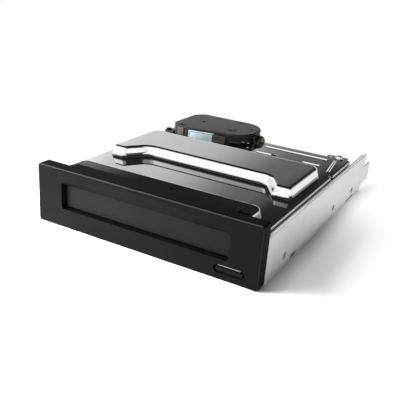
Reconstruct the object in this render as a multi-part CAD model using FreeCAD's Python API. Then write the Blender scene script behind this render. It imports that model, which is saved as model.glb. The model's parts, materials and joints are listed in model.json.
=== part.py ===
import FreeCAD, Part
import math
import os
from FreeCAD import Rotation, Vector

# A 3.5-inch bay drive for removable hard-disk cartridges, in millimetres.
# X runs across the drive, Z up from its underside, and Y back from the front face of the bezel.
# Every piece is moved by half the depth when it is written, so the origin is the bottom centre.

# Overall size of a third-height 3.5-inch bay drive
bay_width = 101.6
bay_height = 25.4
overall_depth = 144.8

# Fits
slide_gap = 0.3
small_gap = 0.1
shaft_gap = 0.05
seat_gap = 0.02
overcut = 1.0

# Front bezel
bezel_side_depth = 5.6
bezel_lip_depth = 9.2
bezel_lip_step = 0.4
bezel_wall = 1.8
bezel_face = 2.8
bezel_corner = 1.3
bezel_edge = 0.7
bezel_hook_inset = 8.0
bezel_hook_width = 6.0
bezel_hook_reach = 5.0
bezel_hook_thick = 1.2
bezel_tab_x = 4.6
bezel_tab_width = 3.6
bezel_tab_reach = 3.2
bezel_tab_thick = 0.8

# Cartridge slot and the scoop round it
slot_side = 12.8
slot_bottom = 8.3
slot_height = 10.0
scoop_depth = 2.0
scoop_end_rise = 1.0
scoop_widening = 0.4
scoop_top_bulge = 4.4
scoop_bottom_bulge = 2.9

# Door behind the slot
door_hinge_y = 4.5
door_hinge_z = 20.6
door_face_y = 2.5
door_thick = 1.2
door_edge = 0.54
door_gap = 0.3
door_barrel_r = 1.3
door_pin_r = 0.7
door_neck_drop = 1.6
ear_width = 2.6
ear_reach = 2.1
spring_room = 3.8
spring_wire_r = 0.2
spring_coil_r = 1.1
spring_turns = 4
spring_leg = 1.6

# Eject button and its switch
button_offset = 1.0
button_z = 4.45
button_width = 11.4
button_height = 2.2
button_travel = 1.0
button_edge = 0.35
button_gap = 0.2
button_pocket_margin = 0.6
button_pocket_depth = 0.8
button_flange_margin = 0.7
button_flange_thick = 0.8
button_stem_half = 0.8
switch_face_y = 12.4
switch_length = 4.4
switch_half = 3.0
switch_height = 2.6
plunger_r = 0.7
plunger_proud = 1.6
plunger_sunk = 1.6

# Stamped base tray
tray_sheet = 0.8
tray_front = 5.8
tray_wall_top = 18.7
tray_tab_length = 11.3
tray_floor_gap = 15.8
tray_corner_cut = 2.6
tray_tab_bottom = 3.0
tray_tab_top = 12.0
tray_bend = 0.8
tray_flange_front = 67.0
tray_flange_width = 1.9
tray_lip_height = 2.2

# Mounting holes: the 3.5-inch pattern of the side walls and the floor
hole_r = 1.5
hole_z = 5.0
hole_front = 24.07
hole_spacing = 60.0
hole_rear_spacing = 30.0
bottom_hole_inset = 3.175
collar_wall = 0.6
collar_length = 1.2
side_slot_front = 31.0
side_slot_length = 7.0
side_slot_top = 2.2
side_notch_front = 105.0
side_notch_length = 13.0
side_notch_top = 1.8

# Inner frame, a channel that carries the mechanism
frame_sheet = 0.6
deck_top = 8.0
frame_side_gap = 0.4
frame_front = 6.2
frame_rear_gap = 2.2
frame_wall_top = 18.2
frame_step_drop = 0.8
frame_step_gap = 1.0
post_r = 2.2
post_offset = 4.05
post_front = 20.0
post_pitch = 53.0
rear_post_offset = 2.0
screw_shank_r = 1.0
screw_head_r = 2.0
frame_head_r = 1.6
screw_head = 1.1
screw_drive_r = 0.75
screw_drive_depth = 0.6

# Formed cover
cover_sheet = 0.6
cover_drop = 4.8
cover_side_gap = 0.4
cover_bend = 1.0
cover_end = 110.0
cover_rear_lip = 3.4
cover_notch_front = 90.6
cover_strip = 3.0
cover_notch_gap = 7.9
cover_left_end = 97.4
pan_side = 3.5
pan_front = 39.8
pan_middle_front = 49.8
pan_rear = 78.4
pan_lobe = 8.6
pan_slope = 6.6
pan_draft = 1.7
pan_top_round = 1.3
inside_chamfer = 0.4
pan_front_corner = 3.0
pan_rear_corner = 5.0
pan_jog_outer = 5.0
pan_jog_inner = 3.0
pan_foot_round = 0.5
rib_front = 9.5
rib_rear = 20.6
rib_drop = 1.2
rib_side = 5.8
rib_corner = 4.0
rib_draft = 1.2
rib_round = 1.0
bead_y = 104.2
bead_height = 0.45
bead_r = 0.9
bead_side = 9.6
short_bead_y = 92.6
short_bead = 8.0
crease_front = 86.0
crease_rear = 105.0
crease_front_side = 3.6
crease_rear_side = 6.0
tab_inner_side = 12.0
tab_outer_side = 1.6
tab_reach = 3.8
tab_corner = 1.4
cover_screw_side = 5.8
cover_screw_y = 110.9
edge_notch_front = 79.6
edge_notch_length = 3.2
edge_notch_depth = 1.2

# Cartridge guides and the room between them
guide_wall = 1.8
guide_gap = 0.4
guide_front = 17.4
guide_rear = 82.0
guide_ledge = 3.0
guide_ledge_thick = 1.4
guide_ledge_clear = 0.2
guide_funnel = 2.4
claw_window_margin = 1.0

# Loading carriage
carriage_travel = 20.0
carriage_side_gap = 0.4
carriage_thick = 4.0
carriage_front = 26.0
carriage_slot_side = 1.6
carriage_stud_r = 0.75
carriage_stud_front = 58.0
carriage_stud_pitch = 24.0
stud_head_r = 1.4
stud_head = 0.6
claw_y = 28.0
claw_length = 6.0
claw_thick = 2.0
claw_lift = 4.0
claw_reach = 0.5

# Gear train: rack, pinion, output gear, worm wheel and worm
rack_module = 0.8
rack_pinion_teeth = 18
rack_spare_teeth = 2
train_module = 0.6
output_teeth = 19
wheel_pinion_teeth = 10
worm_module = 0.5
wheel_teeth = 20
worm_pitch_r = 2.2
addendum_share = 0.8
dedendum_share = 1.1
tooth_share = 0.4
tip_share = 0.22
root_share = 0.56
rack_width = 4.2
rack_pinion_bottom = 9.0
rack_face = 3.0
output_shaft_r = 1.2
output_shaft_rise = 0.6
train_step = 7.2
motor_y = 109.0
motor_z = 19.2
train_floor_gap = 0.3
train_face = 1.6
wheel_face = 2.0
gear_pin_r = 1.0
worm_core_r = 1.5
worm_half_length = 4.6
worm_thread_root = 0.62
worm_thread_tip = 0.3

# Motor
motor_r = 4.8
motor_offset = 17.0
motor_length = 12.6
motor_shaft_r = 0.75
motor_shaft_beyond = 7.4
motor_boss_r = 2.0
motor_boss = 1.0
motor_cap = 1.2
motor_edge = 0.35
motor_cap_r = 4.4
lead_r = 0.5
lead_spread = 1.6
lead_out = 2.0
lead_bend = 1.6

# Gearbox housing
box_side = 8.2
box_length = 42.5
box_before = 17.6
box_behind = 14.5
box_slant = 6.2
box_chamfer_x = 3.6
box_chamfer_y = 5.4
box_front_width = 10.8
box_rear_chamfer = 5.5
box_end_r = 11.4
box_front_r = 1.5
box_slant_r = 3.0
box_left_r = 1.0
box_rear_r = 2.0
box_ear_r = 1.0
box_bottom = 13.2
box_floor = 1.0
box_wall = 1.2
lid_thick = 1.2
lid_edge = 0.4
foot_r = 1.8
foot_corner = 6.0
foot_rear = 5.4
foot_end_rear = 7.0
foot_slant = 11.6
lid_screw_corner = 6.2
lid_screw_front = 3.0
lid_screw_middle = 14.5
lid_screw_rear = 2.4
lid_screw_slant = 12.1
lid_screw_slant_front = 11.5
lid_screw_depth = 6.0
box_ear_width = 3.0
ear_head_r = 1.35
box_ear_length = 4.6
box_ear_thick = 1.0
label_thick = 0.2
label_start = 0.9
label_length = 13.6
label_bottom = 15.4
lid_hole_r = 0.9
view_hole_left = 11.6
view_hole_right = 3.9
view_hole_middle = 10.4
view_hole_pitch = 3.4
view_hole_front = 13.4
fork_half = 1.5
fork_thick = 1.4

# Head actuator
pivot_side = 26.6
pivot_y = 91.0
park_angle = 186.0
arm_swing = 46.0
head_radius = 42.0
hub_r = 6.5
hub_bottom = 9.2
hub_top = 17.4
pivot_shaft_r = 2.4
bearing_r = 4.6
bearing_height = 2.4
arm_offset = 2.4
arm_thick = 0.8
arm_reach = 29.0
arm_root_half = 4.6
arm_tip_half = 2.0
beam_thick = 0.15
beam_tip_half = 0.9
beam_overlap = 3.5
slider_length = 1.6
slider_width = 1.2
slider_height = 0.4
tab_length = 2.2
coil_inner = 9.6
coil_outer = 20.0
coil_half_angle = 15.0
coil_band = 2.6
coil_bottom = 11.6
coil_thick = 1.2
fork_width = 1.6

# Voice-coil magnets
yoke_inner = 8.9
yoke_outer = 23.6
yoke_start = -24.0
yoke_end = 82.0
yoke_thick = 1.6
magnet_inner = 10.2
magnet_outer = 20.0
magnet_start = -9.0
magnet_end = 67.0
magnet_thick = 1.2
coil_air = 0.8
yoke_post_r = 1.3
yoke_post_radius = 22.0
yoke_post_inset = 6.0
stop_r = 1.0
stop_radius = 16.0
stop_margin = 2.6

# Head ramp, flex circuit and the contacts for the cartridge
ramp_width = 5.0
ramp_thick = 6.6
ramp_groove_half = 1.0
flex_thick = 0.15
flex_bottom = 9.6
flex_height = 3.0
flex_gap = 0.5
flex_bend_r = 5.0
flex_straight = 4.0
bracket_half = 2.6
bracket_thick = 1.6
bracket_height = 6.4
contact_side = 1.6
contact_span = 10.4
contact_depth = 2.4
contact_height = 4.6
contact_count = 4
contact_width = 1.2
contact_sheet = 0.2
contact_rise = 1.4

# Circuit board and what it carries
board_bottom = 2.4
board_thick = 1.6
board_side = 6.2
board_front = 12.2
board_rear_gap = 8.8
board_corner = 1.5
board_boss_r = 2.6
board_hole_side = 7.8
board_hole_front = 30.0
board_hole_pitch = 84.0
main_chip = 14.0
main_chip_height = 1.4
chip_x = -12.0
chip_y = 66.0
chip_pitch = 24.0
chip_shrink = 0.28
socket_length = 12.0
socket_depth = 3.6
socket_height = 2.0
socket_x = 20.0
capacitor_r = 1.6
capacitor_height = 2.4
capacitor_pitch = 4.0
capacitor_count = 4
connector_width = 42.0
connector_height = 6.2
connector_depth = 9.6
connector_wall = 1.0
connector_tongue = 1.2
connector_socket_depth = 6.0
connector_key = 14.0
connector_bar = 2.0

# Sizes that follow from the ones above
half_width = bay_width / 2
slot_half = half_width - slot_side
slot_top = slot_bottom + slot_height
disc_mid = slot_bottom + slot_height / 2
bezel_lip_half = slot_half - bezel_lip_step
bezel_hook_x = slot_half - bezel_hook_inset
button_x = slot_half + button_offset
tray_inner = half_width - tray_sheet
tray_wall_end = overall_depth - tray_tab_length
tray_floor_end = overall_depth - tray_floor_gap
bottom_hole_span = bay_width - 2 * bottom_hole_inset
frame_half = tray_inner - frame_side_gap
frame_end = tray_wall_end - frame_rear_gap
deck_bottom = deck_top - frame_sheet
post_x = slot_half + post_offset
rear_post_x = slot_half + rear_post_offset
cover_half = frame_half - frame_sheet - cover_side_gap
cover_top = bay_height - cover_drop
cover_under = cover_top - cover_sheet
pan_top = bay_height
pan_half = cover_half - pan_side
rib_top = bay_height - rib_drop
rib_half = cover_half - rib_side
bead_right = cover_half - bead_side
crease_front_x = cover_half - crease_front_side
crease_rear_x = cover_half - crease_rear_side
tab_left = cover_half - tab_inner_side
tab_right = cover_half - tab_outer_side
cover_screw_x = cover_half - cover_screw_side
carriage_left = cover_sheet + carriage_side_gap - cover_half
carriage_slot_x = carriage_left + carriage_slot_side
board_top = board_bottom + board_thick
carriage_bottom = deck_top + slide_gap
rack_pinion_r = rack_module * rack_pinion_teeth / 2
output_r = train_module * output_teeth / 2
wheel_pinion_r = train_module * wheel_pinion_teeth / 2
wheel_r = worm_module * wheel_teeth / 2
rack_pitch_x = carriage_left + rack_width
rack_pinion_x = rack_pitch_x + rack_pinion_r
wheel_x = rack_pinion_x + train_step
motor_left = wheel_x + motor_offset
motor_shaft_end = wheel_x - motor_shaft_beyond
box_left = rack_pinion_x - box_side
box_right = box_left + box_length
box_front = motor_y - box_before
box_rear = motor_y + box_behind
cover_notch_left = cover_strip - cover_half
cover_notch_right = box_right + cover_notch_gap
pivot_x = cover_half - pivot_side
contact_right = slot_half - contact_side
contact_left = contact_right - contact_span
board_half = tray_inner - board_side
board_hole_x = board_half - board_hole_side
board_rear = overall_depth - board_rear_gap
connector_left = -connector_width / 2
connector_front = frame_end + slide_gap
wheel_y = motor_y - worm_pitch_r - wheel_r
train_distance = output_r + wheel_pinion_r
rack_pinion_y = wheel_y + math.sqrt(train_distance ** 2 - (wheel_x - rack_pinion_x) ** 2)
lid_bottom = bay_height - lid_thick
train_bottom = box_bottom + box_floor + train_floor_gap
wheel_bottom = motor_z - wheel_face / 2
lower_arm_z = disc_mid - arm_offset - arm_thick
upper_arm_z = disc_mid + arm_offset
lower_magnet_z = coil_bottom - coil_air - magnet_thick
lower_yoke_z = deck_top
upper_magnet_z = coil_bottom + coil_thick + coil_air
upper_yoke_z = upper_magnet_z + magnet_thick
pivot = Vector(pivot_x, pivot_y, 0)
up = Vector(0, 0, 1)
back = Vector(0, 1, 0)
right = Vector(1, 0, 0)


# Shapes that many pieces use

def box(x0, x1, y0, y1, z0, z1):
    return Part.makeBox(x1 - x0, y1 - y0, z1 - z0, Vector(x0, y0, z0))


def rod(radius, start, direction, length):
    return Part.makeCylinder(radius, length, start, direction)


def upright(radius, x, y, z0, z1):
    return rod(radius, Vector(x, y, z0), up, z1 - z0)


def corner_points(corners, index, z):
    x, y, radius = corners[index]
    before = corners[index - 1]
    after = corners[(index + 1) % len(corners)]
    here = Vector(x, y, z)
    to_before = (Vector(before[0], before[1], z) - here).normalize()
    to_after = (Vector(after[0], after[1], z) - here).normalize()
    if radius == 0:
        return here, None, here
    half = to_before.getAngle(to_after) / 2
    reach = radius / math.tan(half)
    middle = here + (to_before + to_after).normalize() * (radius / math.sin(half) - radius)
    return here + to_before * reach, middle, here + to_after * reach


def rounded_wire(corners, z):
    points = [corner_points(corners, i, z) for i in range(len(corners))]
    edges = []
    for i, (start, middle, end) in enumerate(points):
        if middle is not None:
            edges.append(Part.Arc(start, middle, end).toShape())
        following = points[(i + 1) % len(points)][0]
        if end.distanceToPoint(following) > 1e-6:
            edges.append(Part.makeLine(end, following))
    return Part.Wire(edges)


def prism(corners, z0, z1):
    return Part.Face(rounded_wire(corners, z0)).extrude(up * (z1 - z0))


def front_prism(corners, y0, y1):
    shape = prism(corners, -y1, -y0)
    shape.rotate(Vector(0, 0, 0), right, 90)
    return shape


def side_prism(corners, x0, x1):
    shape = prism(corners, x0, x1)
    shape.rotate(Vector(0, 0, 0), Vector(1, 1, 1), 120)
    return shape


def square(x0, x1, y0, y1, radius=0):
    return [(x0, y0, radius), (x1, y0, radius), (x1, y1, radius), (x0, y1, radius)]


def inset(corners, distance):
    # The same outline, drawn anticlockwise, with each side moved inwards
    moved = []
    for i, (x, y, radius) in enumerate(corners):
        before = Vector(*corners[i - 1][:2], 0)
        after = Vector(*corners[(i + 1) % len(corners)][:2], 0)
        here = Vector(x, y, 0)
        arriving = (here - before).normalize()
        leaving = (after - here).normalize()
        turn = arriving.cross(leaving).z
        inward = up.cross(arriving) + up.cross(leaving)
        shift = inward * (distance / (1 + arriving.dot(leaving)))
        change = -distance if turn > 0 else distance
        new_radius = max(radius + change, 0) if radius else 0
        moved.append((x + shift.x, y + shift.y, new_radius))
    return moved


def tapered(lower, upper, z0, z1):
    return Part.makeLoft([rounded_wire(lower, z0), rounded_wire(upper, z1)], True, True)


def mirrored(shape):
    return shape.mirror(Vector(0, 0, 0), right)


def both_sides(shape):
    return [shape, mirrored(shape)]


def edges_at(shape, z, margin=0.01):
    return [e for e in shape.Edges if abs(e.BoundBox.ZMin - z) < margin and abs(e.BoundBox.ZMax - z) < margin]


def fused(shapes):
    result = shapes[0].multiFuse(shapes[1:]).removeSplitter()
    return result.Solids[0] if len(result.Solids) == 1 else result


def polar(centre, radius, degrees, z=0):
    angle = math.radians(degrees)
    return Vector(centre.x + radius * math.cos(angle), centre.y + radius * math.sin(angle), z)


def ring_sector(centre, inner, outer, start, end, z0, z1):
    middle = (start + end) / 2
    outer_arc = Part.Arc(*[polar(centre, outer, a, z0) for a in (start, middle, end)]).toShape()
    inner_arc = Part.Arc(*[polar(centre, inner, a, z0) for a in (end, middle, start)]).toShape()
    close_end = Part.makeLine(polar(centre, outer, end, z0), polar(centre, inner, end, z0))
    close_start = Part.makeLine(polar(centre, inner, start, z0), polar(centre, outer, start, z0))
    return Part.Face(Part.Wire([outer_arc, close_end, inner_arc, close_start])).extrude(up * (z1 - z0))


def ring(centre, inner, outer, z0, z1):
    return upright(outer, centre.x, centre.y, z0, z1).cut(upright(inner, centre.x, centre.y, z0, z1))


def hexagon(radius):
    angles = [math.radians(60 * i) for i in range(6)]
    return [(radius * math.cos(a), radius * math.sin(a)) for a in angles]


def closed_face(points):
    return Part.Face(Part.makePolygon(points + points[:1]))


def socket(x, y, z0, z1):
    # Six-sided drive recess of a screw
    return closed_face([Vector(x + a, y + b, z0) for a, b in hexagon(screw_drive_r)]).extrude(up * (z1 - z0))


def screw(x, y, seat, depth, head_r=screw_head_r):
    # Pan-head screw, its head above the seat
    head = Part.makeCone(head_r, head_r - screw_head / 3, screw_head, Vector(x, y, seat))
    shank = upright(screw_shank_r, x, y, seat - depth, seat)
    top = seat + screw_head
    return head.fuse(shank).cut(socket(x, y, top - screw_drive_depth, top)).Solids[0]


def gear(centre, module, teeth, z0, z1, towards, tooth_there):
    # Spur gear with a tooth, or else a gap, centred on the direction given in degrees
    pitch_r = module * teeth / 2
    tip = pitch_r + addendum_share * module
    root = pitch_r - dedendum_share * module
    pitch = 360 / teeth
    first = towards if tooth_there else towards + pitch / 2
    points = []
    for i in range(teeth):
        angle = first + i * pitch
        points.append(polar(centre, root, angle - root_share * pitch / 2, z0))
        points.append(polar(centre, tip, angle - tip_share * pitch / 2, z0))
        points.append(polar(centre, tip, angle + tip_share * pitch / 2, z0))
        points.append(polar(centre, root, angle + root_share * pitch / 2, z0))
    return closed_face(points).extrude(up * (z1 - z0))


def write(name, *solids):
    shape = solids[0] if len(solids) == 1 else Part.makeCompound(list(solids))
    shape = shape.copy()
    shape.translate(Vector(0, -overall_depth / 2, 0))
    shape.exportStep("parts/" + name + ".step")


# Front bezel, door and eject button

def scoop():
    half = slot_half + scoop_widening
    low = slot_bottom + scoop_end_rise
    high = slot_top + scoop_end_rise
    corner = [Vector(-half, 0, low), Vector(half, 0, low), Vector(half, 0, high), Vector(-half, 0, high)]
    bottom_arc = Part.Arc(corner[0], Vector(0, 0, low - scoop_bottom_bulge), corner[1]).toShape()
    top_arc = Part.Arc(corner[2], Vector(0, 0, high + scoop_top_bulge), corner[3]).toShape()
    front = Part.Wire([bottom_arc, Part.makeLine(corner[1], corner[2]), top_arc,
                       Part.makeLine(corner[3], corner[0])])
    rear = closed_face([Vector(x, scoop_depth, z) for x, z in
                        ((-slot_half, slot_bottom), (slot_half, slot_bottom),
                         (slot_half, slot_top), (-slot_half, slot_top))])
    return Part.makeLoft([front, rear.OuterWire], True, True)


def button_outline(margin):
    half = button_width / 2 + margin
    tall = button_height / 2 + margin
    return square(button_x - half, button_x + half, button_z - tall, button_z + tall, tall - seat_gap)


def door_ear():
    left = slot_half + door_gap
    ear = box(left, left + ear_width, bezel_face, door_hinge_y + ear_reach,
              door_hinge_z - ear_reach, bay_height - bezel_wall)
    return ear.cut(rod(door_pin_r + seat_gap, Vector(0, door_hinge_y, door_hinge_z), right, half_width))


def floor_hook():
    left = bezel_hook_x - bezel_hook_width / 2
    low = tray_sheet + small_gap
    arm = box(left, left + bezel_hook_width, bezel_side_depth - overcut, bezel_side_depth + bezel_hook_reach,
              low, low + bezel_hook_thick)
    root = box(left, left + bezel_hook_width, bezel_face, bezel_side_depth, small_gap, low + bezel_hook_thick)
    point = box(left, left + bezel_hook_width, bezel_side_depth + bezel_hook_reach - overcut,
                bezel_side_depth + bezel_hook_reach, small_gap, low)
    return fused([arm, root, point])


def bezel():
    shell = front_prism(square(-half_width, half_width, 0, bay_height, bezel_corner), 0, bezel_side_depth)
    front_edges = [e for e in shell.Edges if e.BoundBox.YMax < bezel_edge / 2]
    shell = shell.makeFillet(bezel_edge, front_edges)
    room = square(bezel_wall - half_width, half_width - bezel_wall, bezel_wall, bay_height - bezel_wall,
                  bezel_corner / 2)
    cavity = front_prism(room, bezel_face, bezel_side_depth + overcut)
    lip = box(-bezel_lip_half, bezel_lip_half, bezel_side_depth - overcut, bezel_lip_depth,
              bay_height - bezel_wall, bay_height)
    tab_left_x = bezel_tab_x - bezel_tab_width / 2
    tab = box(tab_left_x, tab_left_x + bezel_tab_width, bezel_lip_depth - overcut,
              bezel_lip_depth + bezel_tab_reach, rib_top + small_gap, rib_top + small_gap + bezel_tab_thick)
    solid = shell.cut(cavity)
    solid = fused([solid, lip, tab] + both_sides(door_ear()) + both_sides(floor_hook()))
    slot = box(-slot_half, slot_half, -overcut, bezel_face + overcut, slot_bottom, slot_top)
    pocket = front_prism(button_outline(button_pocket_margin), -overcut, button_pocket_depth)
    hole = front_prism(button_outline(button_gap), 0, bezel_face + overcut)
    return solid.cut(slot.fuse(scoop())).cut(pocket.fuse(hole)).removeSplitter().Solids[0]


def door():
    half = slot_half - door_gap
    panel = box(-half, half, door_face_y, door_face_y + door_thick, slot_bottom + door_gap,
                slot_top - door_gap)
    long_edges = [e for e in panel.Edges if e.BoundBox.XLength > half]
    low_edges = [e for e in long_edges if e.BoundBox.ZMax < slot_bottom + overcut]
    panel = panel.makeFillet(door_edge, low_edges)
    barrel_end = half - spring_room
    neck_front = bezel_face + door_gap
    neck = box(-half, barrel_end, neck_front, neck_front + door_thick, slot_top - door_neck_drop,
               door_hinge_z)
    barrel = rod(door_barrel_r, Vector(-half, door_hinge_y, door_hinge_z), right, half + barrel_end)
    bore = rod(door_pin_r + shaft_gap, Vector(-half_width, door_hinge_y, door_hinge_z), right, bay_width)
    return fused([panel, neck, barrel]).cut(bore).Solids[0]


def door_pin():
    half = slot_half + door_gap + ear_width
    return rod(door_pin_r, Vector(-half, door_hinge_y, door_hinge_z), right, 2 * half)


def door_spring():
    # Torsion spring round the pin, with one leg against the back of the door
    length = spring_room - 2 * door_gap
    start = slot_half - door_gap - spring_room + door_gap
    helix = Part.makeHelix(length / spring_turns, length, spring_coil_r)
    section = closed_face([Vector(spring_coil_r + a, 0, b) for a, b in hexagon(spring_wire_r)]).OuterWire
    coil = Part.Wire(helix.Edges).makePipeShell([section], True, True).Solids[0]
    coil.rotate(Vector(0, 0, 0), back, 90)
    coil.translate(Vector(start, door_hinge_y, door_hinge_z))
    leg_top = Vector(start + length, door_hinge_y + spring_coil_r, door_hinge_z)
    leg = rod(spring_wire_r, leg_top, up * -1, spring_leg)
    return [coil, leg]


def button():
    half = button_width / 2 + button_flange_margin
    tall = button_height / 2 + button_flange_margin
    cap = front_prism(button_outline(0), 0, bezel_face)
    cap = cap.makeChamfer(button_edge, [e for e in cap.Edges if e.BoundBox.YMax < seat_gap])
    flange = box(button_x - half, button_x + half, bezel_face, bezel_face + button_flange_thick,
                 button_z - tall, button_z + tall)
    stem = box(button_x - button_stem_half, button_x + button_stem_half, bezel_face,
               switch_face_y - plunger_proud, button_z - button_stem_half, button_z + button_stem_half)
    return fused([cap, flange, stem])


def plunger():
    start = Vector(button_x, switch_face_y - plunger_proud, button_z + plunger_r)
    return rod(plunger_r, start, back, plunger_proud + plunger_sunk)


def eject_switch():
    case = box(button_x - switch_half, button_x + switch_half, switch_face_y, switch_face_y + switch_length,
               board_top, board_top + switch_height)
    bore = rod(plunger_r + shaft_gap, Vector(button_x, switch_face_y, button_z + plunger_r), back,
               plunger_sunk + button_travel + slide_gap)
    return case.cut(bore)


# Base tray and inner frame

def side_holes():
    return [hole_front, hole_front + hole_spacing, hole_front + hole_spacing + hole_rear_spacing]


def bottom_holes():
    half = bottom_hole_span / 2
    return [(x, y) for x in (-half, half) for y in (hole_front, hole_front + hole_spacing)]


def board_holes():
    rows = (board_hole_front, board_hole_front + board_hole_pitch)
    return [(x, y) for x in (-board_hole_x, board_hole_x) for y in rows]


def post_places():
    rows = [(post_x, post_front), (post_x, post_front + post_pitch),
            (rear_post_x, post_front + 2 * post_pitch)]
    return [(side * x, y) for side in (-1, 1) for x, y in rows]


def tray_wall():
    outline = [(tray_front, 0, 0), (tray_floor_end, 0, 0),
               (tray_floor_end + tray_corner_cut, tray_corner_cut, 0),
               (overall_depth - tray_bend, tray_tab_bottom, 0),
               (overall_depth, tray_tab_bottom + tray_bend, 0),
               (overall_depth, tray_tab_top, tray_bend), (tray_wall_end, tray_tab_top, tray_bend),
               (tray_wall_end, tray_wall_top, tray_bend), (tray_front, tray_wall_top, 0)]
    wall = side_prism(outline, tray_inner, half_width)
    flange = box(half_width - tray_flange_width, half_width, tray_flange_front, tray_wall_end - tray_bend,
                 tray_wall_top - tray_sheet, tray_wall_top)
    solid = wall.fuse(flange)
    for y in side_holes():
        start = Vector(tray_inner - collar_length, y, hole_z)
        solid = solid.fuse(rod(hole_r + collar_wall, start, right, collar_length))
    for y in side_holes():
        solid = solid.cut(rod(hole_r, Vector(tray_inner - 2 * collar_length, y, hole_z), right, bay_width))
    slot = side_prism(square(side_slot_front, side_slot_front + side_slot_length, tray_sheet, side_slot_top,
                             tray_sheet / 2), tray_inner - overcut, half_width + overcut)
    notch = side_prism(square(side_notch_front, side_notch_front + side_notch_length, -overcut,
                              side_notch_top, tray_sheet / 2), tray_inner - small_gap, half_width + overcut)
    return solid.cut(slot).cut(notch)


def tray():
    floor = box(-half_width, half_width, tray_front, tray_floor_end, 0, tray_sheet)
    lip = box(-board_half, board_half, tray_floor_end - tray_sheet, tray_floor_end, 0, tray_lip_height)
    bosses = [upright(board_boss_r, x, y, 0, board_bottom) for x, y in board_holes()]
    collars = [upright(hole_r + collar_wall, x, y, 0, tray_sheet + collar_length) for x, y in bottom_holes()]
    solid = fused([floor, lip] + bosses + collars + both_sides(tray_wall()))
    for x, y in bottom_holes():
        solid = solid.cut(upright(hole_r, x, y, -overcut, board_bottom + overcut))
    for x, y in board_holes():
        solid = solid.cut(upright(screw_shank_r + seat_gap, x, y, -overcut, board_bottom + overcut))
    window_left = bezel_hook_x - bezel_hook_width / 2 - slide_gap
    window = box(window_left, window_left + bezel_hook_width + 2 * slide_gap,
                 bezel_side_depth + bezel_hook_reach - overcut - slide_gap,
                 bezel_side_depth + bezel_hook_reach + slide_gap, -overcut, tray_sheet + small_gap)
    recess = box(window_left, window_left + bezel_hook_width + 2 * slide_gap, 0, bezel_side_depth + slide_gap,
                 -overcut, tray_sheet + overcut)
    for cutter in both_sides(window) + both_sides(recess):
        solid = solid.cut(cutter)
    return solid.removeSplitter().Solids[0]


def frame_channel():
    outer = front_prism(square(-frame_half, frame_half, deck_bottom, frame_wall_top), frame_front, frame_end)
    inner = box(frame_sheet - frame_half, frame_half - frame_sheet, 0, bay_width * 2, deck_top, bay_height)
    step = box(-half_width, half_width, tray_flange_front - frame_step_gap, bay_width * 2,
               frame_wall_top - frame_step_drop, bay_height)
    return outer.cut(inner).cut(step)


def inner_frame():
    solid = frame_channel()
    for x, y in post_places():
        solid = solid.cut(upright(screw_shank_r + small_gap, x, y, 0, deck_top + overcut))
    shaft_hole = upright(output_shaft_r + shaft_gap, rack_pinion_x, rack_pinion_y, 0, deck_top + overcut)
    solid = solid.cut(shaft_hole)
    lead_x = motor_left + motor_length + motor_cap + lead_out
    window = prism(square(lead_x - 2 * lead_r, lead_x + 2 * lead_r, motor_y - 2 * lead_spread,
                          motor_y + 2 * lead_spread, lead_r), 0, deck_top + overcut)
    return solid.cut(window).Solids[0]


def frame_posts():
    posts = []
    for x, y in post_places():
        post = upright(post_r, x, y, tray_sheet, deck_bottom)
        posts.append(post.cut(upright(screw_shank_r + seat_gap, x, y, board_bottom, deck_bottom)))
    return posts


def frame_screws():
    depth = deck_top - board_top
    return [screw(x, y, deck_top, depth, frame_head_r) for x, y in post_places()]


# Formed cover

def pan_outline():
    lobe = pan_half - pan_lobe
    inner = lobe - pan_slope
    right_half = [(inner, pan_middle_front, pan_jog_outer), (lobe, pan_front, pan_jog_inner),
                  (pan_half, pan_front, pan_front_corner), (pan_half, pan_rear, pan_rear_corner)]
    left_half = [(-x, y, radius) for x, y, radius in reversed(right_half)]
    return right_half + left_half


def soften(solid, size, edges, inside):
    # Rounded outside, where it shows, and plainly chamfered inside
    return solid.makeChamfer(inside_chamfer, edges) if inside else solid.makeFillet(size, edges)


def pan_solid(shrink, drop):
    foot = inset(pan_outline(), shrink)
    top = inset(pan_outline(), shrink + pan_draft)
    solid = tapered(foot, top, cover_under - overcut, pan_top - drop)
    return soften(solid, pan_top_round - drop, edges_at(solid, pan_top - drop), drop > 0)


def rib_solid(shrink, drop, front):
    def outline(inward):
        side = rib_half - inward
        return [(-side, front, 0), (side, front, 0), (side, rib_rear - inward, rib_corner),
                (-side, rib_rear - inward, rib_corner)]
    solid = tapered(outline(shrink), outline(shrink + rib_draft), cover_under - overcut, rib_top - drop)
    top_edges = [e for e in edges_at(solid, rib_top - drop) if e.BoundBox.YMax > front + overcut]
    return soften(solid, rib_round, top_edges, drop > 0)


def cover_channel(shrink):
    half = cover_half - shrink
    round_r = cover_bend - shrink
    outline = [(-half, deck_top, 0), (half, deck_top, 0), (half, cover_top - shrink, round_r),
               (-half, cover_top - shrink, round_r)]
    return front_prism(outline, frame_front - shrink, cover_end + shrink)


def bead(start, end):
    ridge = rod(bead_r, start, end - start, start.distanceToPoint(end))
    ends = Part.makeSphere(bead_r, start).fuse(Part.makeSphere(bead_r, end))
    return ridge.fuse(ends)


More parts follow.
